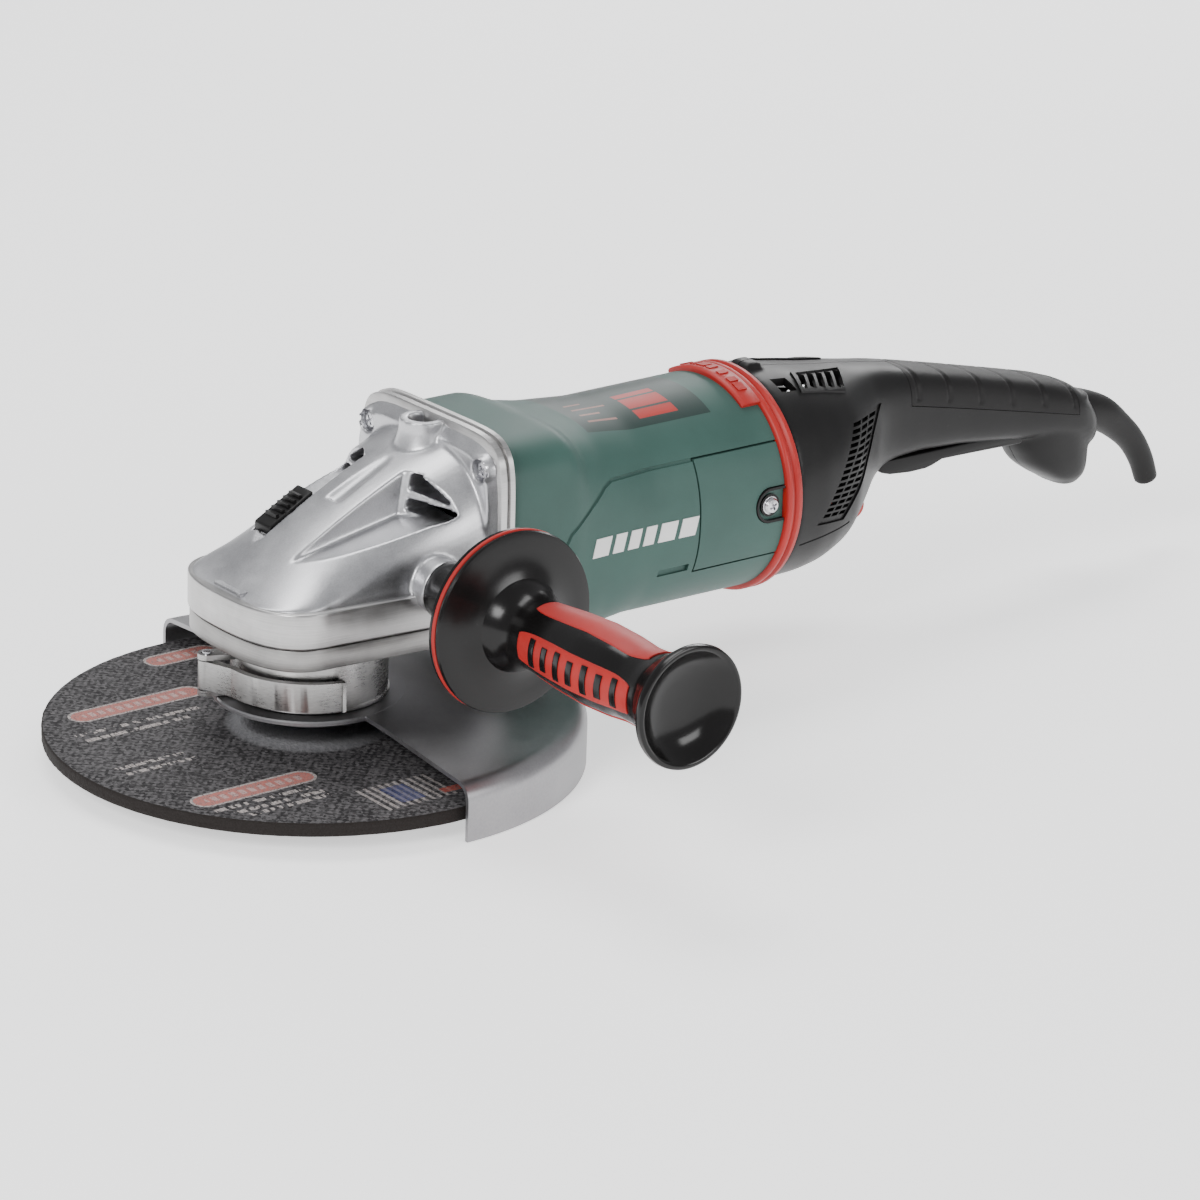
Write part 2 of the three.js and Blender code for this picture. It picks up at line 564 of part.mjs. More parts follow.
piece('motor_housing', cut(housing, ...screwHoles), 'green');
['left', 'right'].forEach((name, i) => {
  const side = i === 0 ? 1 : -1;
  const hole = rod(vec(214, side * 30, 80.5), vec(214, side * 60, 80.5), 2.3, 10);
  piece(`brush_cover_${name}`, cut(common(bodyShell, brushWindow(side, -gap / 2)), hole), 'green');
  const fixing = screw(vec(214, side * 50.6, 80.5), vec(0, -side, 0), 3.6, 2.2, 1.9, 9);
  piece(`brush_cover_screw_${name}`, fixing, 'steel');
});

const stator = { x0: 118, x1: 182, outer: 41, inner: 33, bore: 27 };

// A block about the motor axis, between two radii and two angles from +Y.
function sector(inner, outer, x0, x1, middle, spread, steps = 6) {
  const arc = (radius) => Array.from({ length: steps + 1 }, (_, i) => {
    const angle = radians(middle + spread * ((2 * i) / steps - 1));
    return [radius * Math.cos(angle), motorZ + radius * Math.sin(angle)];
  });
  return slabX(outline([...arc(inner), ...arc(outer).reverse()]), x0, x1);
}

function statorCore() {
  const { inner, outer, bore, x0, x1 } = stator;
  const yoke = turnedX(ringSection(inner, outer, x0, x1), 28);
  const poles = [0, 180].map((angle) => sector(bore, inner + 1, x0, x1, angle, 30, 8));
  return join(yoke, ...poles);
}

piece('stator_core', statorCore(), 'darkSteel');
['left', 'right'].forEach((name, i) => {
  const angle = i * 180;
  const whole = sector(stator.bore + 0.6, stator.inner - 0.8, stator.x0 - 9, stator.x1 + 9, angle, 66, 12);
  const window = sector(stator.bore - 2, stator.inner + 2, stator.x0 - 1, stator.x1 + 1, angle, 33, 8);
  piece(`field_coil_${name}`, cut(whole, window), 'copper');
});

const ringOf = ({ bore, radius, x0, x1 }) => turnedX(ringSection(bore, radius, x0, x1), 20);
piece('armature_front_bearing', ringOf(frontBearing), 'steel');
piece('armature_rear_bearing', ringOf({ bore: 4.3, radius: 11, x0: 212.5, x1: 220.5 }), 'steel');
piece('armature_shaft', turnedX([[0, 20.5], [2, 20.5], [2, 37.8], [5.7, 38], [5.7, 70], [6, 70], [6, 209],
  [4, 210], [4, 222], [0, 222]], 16), 'steel');

function armatureCore() {
  const slots = 12;
  const points = [];
  for (let i = 0; i < slots; i += 1) {
    [[25.5, 0.06], [25.5, 0.8], [19, 0.86], [19, 1]].forEach(([radius, part]) => {
      const angle = (2 * Math.PI * (i + part)) / slots;
      points.push([radius * Math.cos(angle), motorZ + radius * Math.sin(angle)]);
    });
  }
  const windings = [[110, 120.5], [190, 179.5]].map(([end, root]) => (
    turnedX([[0, end], [16, end], [18.5, (end + root) / 2], [18.5, root], [0, root]], 12)));
  const bore = turnedX([[0, 100], [6.3, 100], [6.3, 200], [0, 200]], 12);
  return cut(join(slabX(outline(points), 120, 180), ...windings), bore);
}

piece('armature_core', armatureCore(), 'darkSteel');
piece('commutator', turnedX(ringSection(6.3, 15, 192, 207), 24), 'copper');

function coolingFan() {
  const hub = turnedX([[6.3, 86], [11, 86], [11, 98], [37, 101], [37, 103], [6.3, 103]], 24);
  const blades = Array.from({ length: 9 }, (_, i) => (
    copied(box(88, 101.5, 10, 36, -0.9, 0.9), (2 * Math.PI * i) / 9, 0, 0).translate(0, 0, motorZ)));
  return join(hub, ...blades);
}

piece('fan', coolingFan(), 'nylon');

const brush = { halfX: 3.5, halfZ: 5, wall: 1.2 };
['left', 'right'].forEach((name, i) => {
  const side = i === 0 ? 1 : -1;
  const [near, far] = side > 0 ? [17.5, 43] : [-43, -17.5];
  const grow = brush.wall + gap;
  const holder = box(brushX - brush.halfX - grow, brushX + brush.halfX + grow, near, far,
    motorZ - brush.halfZ - grow, motorZ + brush.halfZ + grow);
  const chute = box(brushX - brush.halfX - gap, brushX + brush.halfX + gap, near - 5, far + 5,
    motorZ - brush.halfZ - gap, motorZ + brush.halfZ + gap);
  const [tip, tail] = side > 0 ? [15.4, 34] : [-34, -15.4];
  piece(`brush_holder_${name}`, cut(holder, chute), 'nylon');
  piece(`carbon_brush_${name}`, box(brushX - brush.halfX, brushX + brush.halfX, tip, tail,
    motorZ - brush.halfZ, motorZ + brush.halfZ), 'carbon');
});

// ---------- red damping ring ----------
function dampingRing() {
  const { x0, x1 } = ring;
  return turnedX([[44, x0], [51.5, x0], [52.6, x0 + 1.2], [52.6, x1 - 1.2], [51.5, x1], [44, x1]], 32);
}

piece('damping_ring', dampingRing(), 'red');

// ---------- rear handle ----------
const gripSections = stations([
  [handleStart, 50, 129, 29.5, 2.1], [250, 48.5, 127, 29.8, 2.2], [275, 44.5, 121.5, 32, 2.4],
  [290, 38.5, 118.5, 38, 2.5], [300, 32, 116, 46.5, 2.5], [307, 27.5, 114.7, 56, 2.5], [314, 23, 113.5, 69, 2.6],
  [322, 20, 112.3, 75.5, 2.7], [336, 18.5, 110, 77, 2.7], [360, 18, 105.5, 76.5, 2.7],
  [394, 18.5, 99.5, 73.5, 2.7], [420, 19.5, 93, 70, 2.6], [436, 19.5, 87.5, 64, 2.5], [448, 17.5, 80, 56, 2.3],
  [455, 13, 74, 53, 2.1]]);

// The hand stop that hangs from the grip's end, as sections across Z.
const stopSections = [[82, 409, 448, 17.5], [70, 407, 455, 17.5], [62, 409, 457, 17], [52, 416, 457.5, 16.5],
  [44, 425, 457.5, 15.5], [38, 434, 456.5, 13.5], [35.2, 442, 453, 9]];

function stopRing([z, x0, x1, halfWidth], wall) {
  const sides = 16;
  const half = (x1 - x0) / 2 - wall;
  return Array.from({ length: sides }, (_, i) => {
    const angle = (2 * Math.PI * i) / sides;
    return vec((x0 + x1) / 2 + half * signedPower(Math.cos(angle), 0.75),
      (halfWidth - wall) * signedPower(Math.sin(angle), 0.75), z + (z < 40 ? wall : 0));
  });
}

const handleSides = 16;
const sleeveBore = rod(vec(440, 0, 74.5), vec(462, 0, 68.4), 9.6, 14);

function handleBody(wall) {
  const grip = loftSections(stretched(gripSections, Math.min(wall, 1), -wall), wall, handleSides);
  return join(grip, loft(stopSections.map((row) => stopRing(row, wall))));
}

const softGrip = { x0: 323, x1: 430, thick: 2.2, below: 11 };

// The soft cover's zone: the upper part of the grip, above a line parallel to its top.
function softZone(margin) {
  const { x0, x1, below } = softGrip;
  const topAt = (x) => THREE.MathUtils.mapLinear(x, 312, 437, 113.6, 87);
  return slabY(outline([[x0 - margin, 140], [x0 - margin, topAt(x0) - below - margin],
    [x1 + margin, topAt(x1) - below - margin], [x1 + margin, 140]]), -40, 40);
}

const pivot = { x: 398, z: 70, radius: 2 };
const release = { x: 303, z: 51, way: vec(0.83, 0, -0.56), radius: 6 };
const shellScrews = [[262, 50, 46], [440, 47, 16]]; // X, Z and how far the posts reach from the middle

function releaseRod(radius, from, to, segments = 14) {
  const centre = vec(release.x, 0, release.z);
  return rod(centre.clone().addScaledVector(release.way, from), centre.clone().addScaledVector(release.way, to),
    radius, segments);
}

function handleShell(side) {
  const outer = handleBody(0);
  const ears = box(394, 402, side > 0 ? 12.6 : -16.5, side > 0 ? 16.5 : -12.6, 66.5, 79);
  const posts = shellScrews.map(([x, z, reach]) => rod(vec(x, side * 0.2, z), vec(x, side * reach, z), 4.2, 10));
  const hollow = handleBody(shellWall);
  const skin = cut(outer, hollow);
  const half = side > 0 ? box(200, 480, gap / 2, 80, 0, 160) : box(200, 480, -80, -gap / 2, 0, 160);
  const grooved = cut(skin, common(softZone(gap), cut(outer, handleBody(softGrip.thick + 2 * gap))));
  const lined = join(common(grooved, half), common(join(...posts), handleBody(0.5)), ears);
  const screwHoles = shellScrews.map(([x, z]) => rod(vec(x, -70, z), vec(x, 70, z), 2, 10));
  return cut(lined, sleeveBore, ...screwHoles, releaseRod(release.radius + gap, -14, 14),
    rod(vec(pivot.x, -30, pivot.z), vec(pivot.x, 30, pivot.z), pivot.radius + gap, 10));
}

piece('handle_shell_left', handleShell(1), 'black');
piece('handle_shell_right', handleShell(-1), 'black');
piece('handle_soft_grip', common(softZone(0), cut(handleBody(0), handleBody(softGrip.thick))), 'rubber');
shellScrews.forEach(([x, z], i) => {
  const reach = x < 300 ? 20 : 12;
  piece(`handle_screw_${i + 1}`, rod(vec(x, reach, z), vec(x, -reach, z), 1.7, 10), 'steel');
});
piece('release_button', releaseRod(release.radius, -8, 6), 'red');
piece('switch_module', box(342, 388, -9, 9, 82.5, 94), 'black');
piece('electronics_module', box(240, 288, -24, 24, 64, 84), 'black');
piece('cable_clamp', box(424, 431, -9, 9, 76, 80), 'black');

// ---------- trigger ----------
const triggerSlot = { x0: 336, x1: 352 };

function triggerPaddle() {
  const side = new THREE.Shape();
  side.moveTo(326, 68);
  side.lineTo(326, 62.5);
  side.quadraticCurveTo(327, 60.4, 330, 60.3);
  side.lineTo(354, 60.6);
  side.quadraticCurveTo(359, 61.2, 362, 63.4);
  side.lineTo(400, 66.4);
  side.lineTo(401.5, 70);
  side.lineTo(399.5, 72.4);
  side.lineTo(392, 71.6);
  side.closePath();
  const plan = outline([[320, -14], [358, -14], [368, -12.2], [405, -12.2], [405, 12.2], [368, 12.2], [358, 14],
    [320, 14]]);
  const paddle = common(slabY(side, -14, 14, 4), slab(plan, 50, 90));
  const slot = box(triggerSlot.x0, triggerSlot.x1, -5.3, 5.3, 50, 90);
  return join(cut(paddle, slot), rod(vec(pivot.x, -16.2, pivot.z), vec(pivot.x, 16.2, pivot.z), pivot.radius, 10));
}

piece('trigger_paddle', triggerPaddle(), 'black');
piece('trigger_lock', join(box(343.5, 351.5, -5, 5, 57.6, 69.8), box(343.5, 351.5, -8, 8, 69.8, 70.7)), 'black');

// ---------- cable sleeve ----------
function cableSleeve() {
  const path = new THREE.CatmullRomCurve3([vec(447, 0, 72.6), vec(453, 0, 71), vec(463, 0, 67), vec(474, 0, 59.4),
    vec(484, 0, 50.5), vec(491.6, 0, 39.6), vec(496.6, 0, 28)]);
  const radii = [9.3, 9.2, 8.6, 7.4, 6.6, 6.1, 5.7];
  const tube = (thin, steps, extra) => loft(Array.from({ length: steps + 1 }, (_, i) => {
    const t = i / steps;
    const centre = path.getPoint(t);
    const along = path.getTangent(t);
    centre.addScaledVector(along, i === 0 ? -extra : i === steps ? extra : 0);
    const up = vec(-along.z, 0, along.x);
    const place = t * (radii.length - 1);
    const low = Math.min(Math.floor(place), radii.length - 2);
    const radius = THREE.MathUtils.lerp(radii[low], radii[low + 1], place - low);
    return Array.from({ length: 12 }, (__, k) => {
      const angle = (2 * Math.PI * k) / 12;
      const r = thin > 0 ? thin : radius;
      return centre.clone().addScaledVector(up, r * Math.cos(angle)).add(vec(0, r * Math.sin(angle), 0));
    });
  }));
  return cut(tube(0, 7, 0), tube(4.2, 7, 0.5));
}

piece('cable_sleeve', cableSleeve(), 'rubber');

// ---------- side handle ----------
const baseProfile = [[6.9, -54.4], [13, -54.4], [13.5, -60], [17, -78], [24, -90], [38, -94.2], [41, -94.6],
  [41, -96.6], [6.9, -96.6]];
const gripProfile = [[6.9, -96.9], [21.7, -96.9], [21.7, -99.2], [41, -99.2], [41.5, -101.4], [38, -102.4],
  [28, -104], [19.5, -108.5], [15.6, -115], [15, -124], [17.6, -160], [15.6, -190], [19, -206], [25, -213],
  [26.3, -217], [26, -219], [23.5, -219], [21, -216.4], [0, -215], [0, -106], [6.9, -106]];
const onSideAxis = (profile, segments = 24) => turnedY(profile, segments, sideBoss.x, sideBoss.z);
piece('side_handle_stud', onSideAxis([[0, -43], [6.6, -43.5], [6.6, -104], [0, -104]], 16), 'steel');
piece('side_handle_base', onSideAxis(baseProfile), 'black');
piece('side_handle_ring', onSideAxis(ringSection(22, 41.3, -96.9, -98.9)), 'red');
piece('side_handle_grip', onSideAxis(gripProfile), 'black');

export default grinder;
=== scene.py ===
from math import cos, pi, radians, sin

import bmesh
import bpy
from mathutils import Matrix, Vector, noise


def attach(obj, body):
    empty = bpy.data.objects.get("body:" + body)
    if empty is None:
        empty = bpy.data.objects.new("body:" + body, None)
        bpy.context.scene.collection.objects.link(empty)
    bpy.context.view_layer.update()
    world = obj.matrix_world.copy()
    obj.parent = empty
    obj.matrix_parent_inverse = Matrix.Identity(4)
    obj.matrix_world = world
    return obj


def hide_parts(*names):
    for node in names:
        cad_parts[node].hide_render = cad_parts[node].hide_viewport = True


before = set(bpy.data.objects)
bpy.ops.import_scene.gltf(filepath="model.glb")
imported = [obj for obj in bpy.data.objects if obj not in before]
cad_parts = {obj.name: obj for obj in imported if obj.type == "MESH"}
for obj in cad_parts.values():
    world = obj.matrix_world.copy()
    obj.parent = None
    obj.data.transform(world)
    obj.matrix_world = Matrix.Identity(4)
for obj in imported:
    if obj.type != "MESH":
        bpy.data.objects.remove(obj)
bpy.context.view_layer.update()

# Pieces are drawn in millimetres in the frame's axes, and scaled to metres when they are finished.
# The spindle is the Z axis with its free end at 0, and the motor axis runs along X.
motorZ = 79


# ---- camera ----
def addCamera():
    camera = {"place": (-1155.4, -1646.1, 799.5), "lens": 150,
              "right": (0.78827, -0.61453, 0.03133), "up": (0.18737, 0.28823, 0.93905)}
    right = Vector(camera["right"]).normalized()
    back = right.cross(Vector(camera["up"])).normalized()
    up = back.cross(right)
    data = bpy.data.cameras.new("camera")
    data.sensor_width = 36
    data.lens = camera["lens"]
    data.clip_start = 0.05
    data.clip_end = 20
    obj = bpy.data.objects.new("camera", data)
    turn = Matrix((right, up, back)).transposed().to_4x4()
    obj.matrix_world = Matrix.Translation(Vector(camera["place"]) / 1000) @ turn
    bpy.context.collection.objects.link(obj)
    bpy.context.scene.camera = obj


addCamera()
print("camera placed")


# ---- shader tools ----
class Wire:
    def __init__(self, paint, socket):
        self.paint = paint
        self.socket = socket

    def __add__(self, other):
        return self.paint.maths("ADD", self, other)

    def __sub__(self, other):
        return self.paint.maths("SUBTRACT", self, other)

    def __mul__(self, other):
        return self.paint.maths("MULTIPLY", self, other)

    def __rsub__(self, other):
        return self.paint.maths("SUBTRACT", other, self)

    def __lt__(self, other):
        return self.paint.maths("LESS_THAN", self, other)

    def __gt__(self, other):
        return self.paint.maths("GREATER_THAN", self, other)

    def __abs__(self):
        return self.paint.maths("ABSOLUTE", self)

    __radd__ = __add__
    __rmul__ = __mul__


class Paint:
    def __init__(self, name, **fixed):
        self.material = bpy.data.materials.new(name)
        self.material.use_nodes = True
        self.tree = self.material.node_tree
        self.shader = self.tree.nodes["Principled BSDF"]
        self.finish(**fixed)

    def put(self, socket, value):
        if isinstance(value, Wire):
            self.tree.links.new(value.socket, socket)
        elif isinstance(value, tuple) and socket.type == "RGBA":
            socket.default_value = (*value[:3], 1)
        else:
            socket.default_value = value

    def node(self, kind, settings=None, values=None, out=0):
        made = self.tree.nodes.new("ShaderNode" + kind)
        for key, value in (settings or {}).items():
            if key == "stops":
                elements = made.color_ramp.elements
                while len(elements) < len(value):
                    elements.new(0.5)
                for element, (spot, level) in zip(elements, value):
                    element.position = spot
                    element.color = (level, level, level, 1)
            else:
                setattr(made, key, value)
        for key, value in (values or {}).items():
            self.put(made.inputs[key], value)
        return Wire(self, made.outputs[out])

    def maths(self, operation, *values):
        return self.node("Math", {"operation": operation}, dict(enumerate(values)))

    # Object coordinates in millimetres, stretched by a factor for each axis.
    def place(self, stretch=(1, 1, 1), turn=(0, 0, 0)):
        coords = self.node("TexCoord", out="Object")
        scale = tuple(1000 * s for s in stretch)
        return self.node("Mapping", None, {"Vector": coords, "Scale": scale, "Rotation": turn})

    def axes(self):
        return [self.node("SeparateXYZ", None, {0: self.place()}, out=i) for i in range(3)]

    def noise(self, scale, detail=2, stretch=(1, 1, 1), rough=0.5, turn=(0, 0, 0)):
        return self.node("TexNoise", None, {"Vector": self.place(stretch, turn), "Scale": scale,
                                             "Detail": detail, "Roughness": rough})

    def ramp(self, factor, *stops):
        return self.node("ValToRGB", {"stops": stops}, {0: factor})

    def mix(self, factor, first, second):
        return self.node("Mix", {"data_type": "RGBA"}, {0: factor, 6: first, 7: second}, out=2)

    def bump(self, height, distance, strength=1.0):
        return self.node("Bump", None, {"Height": height, "Distance": distance / 1000, "Strength": strength})

    def finish(self, **varied):
        for socket, value in varied.items():
            self.put(self.shader.inputs[socket.replace("_", " ")], value)
        return self.material

    # 1 inside a rectangle in two coordinates, 0 outside it.
    def inside(self, a, a0, a1, b, b0, b1):
        return (a > a0) * (a < a1) * (b > b0) * (b < b1)


# ---- finishes ----
def metal(name, light, dark, rough, grainMm=0.9, bumpMm=0.03, cloudMm=18, stretch=(1, 1, 1), **fixed):
    p = Paint(name, Metallic=1.0, **fixed)
    cloud = p.noise(1 / cloudMm, 4, rough=0.6)
    grain = p.noise(1 / grainMm, 3, stretch, rough=0.65)
    shade = p.mix(p.ramp(cloud * 0.55 + grain * 0.45, (0.32, 0.0), (0.68, 1.0)), dark, light)
    surface = p.ramp(grain * 0.5 + cloud * 0.5, (0.32, rough[0]), (0.68, rough[1]))
    return p.finish(Base_Color=shade, Roughness=surface, Normal=p.bump(grain, bumpMm, 0.6))


def plastic(name, light, dark, rough, grainMm=0.4, bumpMm=0.035, **fixed):
    p = Paint(name, **fixed)
    grain = p.noise(1 / grainMm, 3, rough=0.65)
    cloud = p.noise(0.03, 4, rough=0.55)
    dust = p.ramp(p.noise(0.35, 4, rough=0.75), (0.62, 0.0), (0.8, 1.0))
    shade = p.mix(p.ramp(cloud * 0.7 + grain * 0.3, (0.3, 0.0), (0.7, 1.0)), dark, light)
    dusty = p.mix(dust * 0.02, shade, (0.4, 0.4, 0.4))
    surface = p.ramp(grain * 0.4 + cloud * 0.6, (0.32, rough[0]), (0.68, rough[1]))
    return p.finish(Base_Color=dusty, Roughness=surface, Normal=p.bump(grain, bumpMm, 0.55))


def copperWire():
    p = Paint("enamelled copper", Metallic=0.85)
    strands = p.noise(1.0, 2, (0.08, 2.0, 2.0))
    shade = p.mix(p.ramp(strands, (0.35, 0.0), (0.65, 1.0)), (0.2, 0.06, 0.025), (0.5, 0.2, 0.08))
    return p.finish(Base_Color=shade, Roughness=p.ramp(strands, (0.3, 0.25), (0.7, 0.45)),
                    Normal=p.bump(strands, 0.15, 0.8))


# Satin green plastic with a dark plate and red bars printed on the back of the housing.
def greenHousing():
    look = {"light": (0.040, 0.094, 0.079), "dark": (0.028, 0.070, 0.059), "plate": (0.008, 0.019, 0.017),
            "red": (0.42, 0.022, 0.016), "plateX": (127, 196), "plateY": 27, "plateZ": 112}
    p = Paint("green housing", Specular_IOR_Level=0.32)
    x, y, z = p.axes()
    grain = p.noise(2.4, 3, rough=0.65)
    cloud = p.noise(0.03, 4, rough=0.55)
    shade = p.mix(p.ramp(cloud * 0.7 + grain * 0.3, (0.3, 0.0), (0.7, 1.0)), look["dark"], look["light"])
    top = z > look["plateZ"]
    x0, x1 = look["plateX"]
    plate = p.inside(x, x0, x1, y, -look["plateY"], look["plateY"]) * top
    shade = p.mix(plate * 0.8, shade, look["plate"])
    for barY, wide in ((-22.5, 6), (-15, 9), (-4.5, 4)):
        bar = p.inside(x, 159.5, 181, y, barY, barY + wide) * top
        shade = p.mix(bar * p.ramp(grain, (0.3, 0.75), (0.6, 1.0)), shade, look["red"])
    for row, (rowX, length) in enumerate(((133, 16), (133, 11), (133, 18), (133, 9))):
        line = p.inside(x, rowX, rowX + length, y, -20 + 6 * row, -18.6 + 6 * row) * top
        shade = p.mix(line * 0.5, shade, (0.5, 0.2, 0.16))
    surface = p.ramp(grain * 0.4 + cloud * 0.6, (0.32, 0.42), (0.68, 0.54)) - plate * 0.08
    return p.finish(Base_Color=shade, Roughness=surface, Normal=p.bump(grain, 0.03, 0.5))


# Bonded grit over a woven mesh, with plain printed pills, bars and stripes in place of the label's words.
def gritDisc():
    look = {"dark": (0.011, 0.010, 0.011), "light": (0.11, 0.105, 0.108), "rim": (0.009, 0.006, 0.005),
            "red": (0.42, 0.085, 0.06), "pale": (0.5, 0.45, 0.43), "blue": (0.03, 0.04, 0.14)}
    p = Paint("bonded abrasive", Specular_IOR_Level=0.35)
    x, y, z = p.axes()
    grit = p.node("TexVoronoi", {"feature": "F1"}, {"Vector": p.place(), "Scale": 0.95})
    chip = p.node("TexVoronoi", {"feature": "F1"}, {"Vector": p.place(), "Scale": 0.75}, out="Color")
    fine = p.noise(1.5, 4, rough=0.75)
    weave = p.maths("SINE", x * 1.5) * p.maths("SINE", y * 1.5) * 0.5 + 0.5
    tone = p.node("RGBToBW", None, {0: chip}) * 0.4 + fine * 0.45 + weave * 0.15
    shade = p.mix(p.ramp(tone, (0.38, 0.0), (0.66, 1.0)), look["dark"], look["light"])
    radius = p.maths("SQRT", x * x + y * y)
    shade = p.mix(radius > 114.2, shade, look["rim"])
    top = (z > 7.6) * (radius < 113.4)
    worn = p.ramp(fine * 0.7 + grit * 0.45, (0.4, 0.0), (0.62, 1.0)) * 0.75 + 0.05

    # A long bar with round ends, along the X axis.
    def pill(middleX, middleY, halfLength, halfWidth):
        over = p.maths("MAXIMUM", abs(x - middleX) - halfLength, 0.0)
        across = y - middleY
        return p.maths("SQRT", over * over + across * across) < halfWidth

    for middleX, middleY, half in ((-51, 58, 27), (-63, -50.5, 24), (-2, 97, 12)):
        shade = p.mix(pill(middleX, middleY, half, 6.6) * top * worn, shade, look["pale"])
        shade = p.mix(pill(middleX, middleY, half, 5.3) * top * worn, shade, look["red"])
        dash = p.maths("SINE", x * 1.35) > -0.25
        shade = p.mix(pill(middleX, middleY, half - 2, 2.3) * top * worn * dash * 0.7, shade, look["pale"])
    words = p.node("TexNoise", None, {"Vector": p.place((0.5, 0.14, 0.01)), "Scale": 1.0, "Detail": 1.0})
    for middleX, middleY, half in ((-60, 40, 33), (-66, 33, 26), (-82, -1, 17), (-80, -8, 18),
                                   (-66, -62, 24), (-62, -68, 22), (-60, -73, 20)):
        line = p.inside(x, middleX - half, middleX + half, y, middleY - 1.5, middleY + 1.5)
        shade = p.mix(line * top * (words > 0.49) * worn, shade, look["pale"])
    patch = p.inside(x, -31, 6, y, -101, -76) * top * worn
    stripe = p.maths("SINE", x * 1.7) > 0.15
    middle = p.inside(x, -20, -8, y, -97, -80)
    shade = p.mix(patch * stripe * 0.7, shade, look["pale"])
    shade = p.mix(patch * middle * 0.85, shade, look["blue"])
    shade = p.mix(p.inside(x, 1, 14, y, -98, -93) * top * worn, shade, look["red"])
    # A metallic ring round the raised hub. Its light grey colour is partly the ring's own and partly a
    # painted highlight, where the hub catches the light.
    hub = p.ramp(radius * 0.01, (0.3, 1.0), (0.37, 0.0)) * (z > 7.6)
    shade = p.mix(hub * 0.8, shade, (0.5, 0.5, 0.52))
    height = grit * 0.5 + fine * 0.35 + weave * 0.2
    return p.finish(Base_Color=shade, Metallic=hub * 0.9, Normal=p.bump(height, 0.5, 0.75),
                    Roughness=p.ramp(fine, (0.3, 0.72), (0.7, 0.95)) - hub * 0.45)


finishes = {
    "cast": metal("cast aluminium", (0.64, 0.64, 0.655), (0.42, 0.42, 0.435), (0.3, 0.44), 0.7, 0.05),
    "machined": metal("machined aluminium", (0.6, 0.59, 0.585), (0.36, 0.355, 0.35), (0.26, 0.42), 1.0, 0.04,
                      stretch=(0.04, 0.04, 2.6)),
    "machinedDark": metal("machined flange", (0.42, 0.41, 0.4), (0.24, 0.235, 0.23), (0.28, 0.46), 1.0, 0.045,
                          stretch=(0.04, 0.04, 2.6)),
    "zinc": metal("zinc sheet", (0.36, 0.355, 0.365), (0.27, 0.265, 0.275), (0.33, 0.46), 1.2, 0.02, 30),
    "plated": metal("plated clamp", (0.55, 0.54, 0.53), (0.34, 0.335, 0.33), (0.22, 0.38), 0.9, 0.02,
                    stretch=(0.3, 0.3, 1.6)),
    "steel": metal("bright steel", (0.66, 0.66, 0.68), (0.5, 0.5, 0.52), (0.18, 0.34), 0.8, 0.015),
    "darkSteel": metal("dark steel", (0.2, 0.2, 0.215), (0.11, 0.11, 0.12), (0.3, 0.5), 0.8, 0.03),
    "green": greenHousing(),
    "black": plastic("black plastic", (0.0085, 0.008, 0.0082), (0.005, 0.0047, 0.0048), (0.32, 0.46),
                     Specular_IOR_Level=0.22),
    "glossBlack": plastic("glossy black plastic", (0.0055, 0.005, 0.005), (0.0035, 0.003, 0.003),
                          (0.14, 0.24), 0.6, 0.012, Specular_IOR_Level=0.28),
    "softBlack": plastic("soft black rubber", (0.0105, 0.0098, 0.0099), (0.0065, 0.006, 0.006), (0.42, 0.58),
                         0.5, 0.06, Specular_IOR_Level=0.2),
    "red": plastic("red plastic", (0.42, 0.017, 0.013), (0.3, 0.011, 0.009), (0.34, 0.48),
                   Specular_IOR_Level=0.4),
    "redRubber": plastic("red rubber", (0.42, 0.017, 0.013), (0.31, 0.011, 0.009), (0.4, 0.55), 0.5, 0.05,
                         Specular_IOR_Level=0.36),
    "white": plastic("printed white", (0.75, 0.75, 0.74), (0.62, 0.62, 0.61), (0.35, 0.5)),
    "nylon": plastic("grey nylon", (0.07, 0.08, 0.09), (0.04, 0.045, 0.05), (0.45, 0.6)),
    "carbon": plastic("carbon block", (0.03, 0.03, 0.032), (0.015, 0.015, 0.016), (0.6, 0.8), 0.3, 0.08),
    "abrasive": gritDisc(),
    "copper": copperWire(),
}
print("finishes mixed")


# ---- mesh tools, in millimetres ----
def block(x0, x1, y0, y1, z0, z1):
    form = bmesh.new()
    bmesh.ops.create_cube(form, size=1)
    bmesh.ops.scale(form, vec=(x1 - x0, y1 - y0, z1 - z0), verts=form.verts)
    bmesh.ops.translate(form, vec=((x0 + x1) / 2, (y0 + y1) / 2, (z0 + z1) / 2), verts=form.verts)
    return form


def rod(start, end, radius, endRadius=None, sides=32):
    form = bmesh.new()
    start, end = Vector(start), Vector(end)
    span = end - start
    bmesh.ops.create_cone(form, cap_ends=True, segments=sides, radius1=radius,
                          radius2=radius if endRadius is None else endRadius, depth=span.length)
    turn = span.to_track_quat("Z", "Y").to_matrix().to_4x4()
    bmesh.ops.transform(form, matrix=Matrix.Translation((start + end) / 2) @ turn, verts=form.verts)
    return form


# Spins [radius, height] points about Z.
def turned(profile, sides=96):
    form = bmesh.new()
    verts = [form.verts.new((r, 0, z)) for r, z in profile]
    edges = [form.edges.new(pair) for pair in zip(verts, verts[1:])]
    if profile[0][0] > 0:
        edges.append(form.edges.new((verts[-1], verts[0])))
    bmesh.ops.spin(form, geom=verts + edges, cent=(0, 0, 0), axis=(0, 0, 1), angle=2 * pi, steps=sides,
                   use_merge=True)
    bmesh.ops.remove_doubles(form, verts=form.verts, dist=0.001)
    bmesh.ops.recalc_face_normals(form, faces=form.faces)
    return form


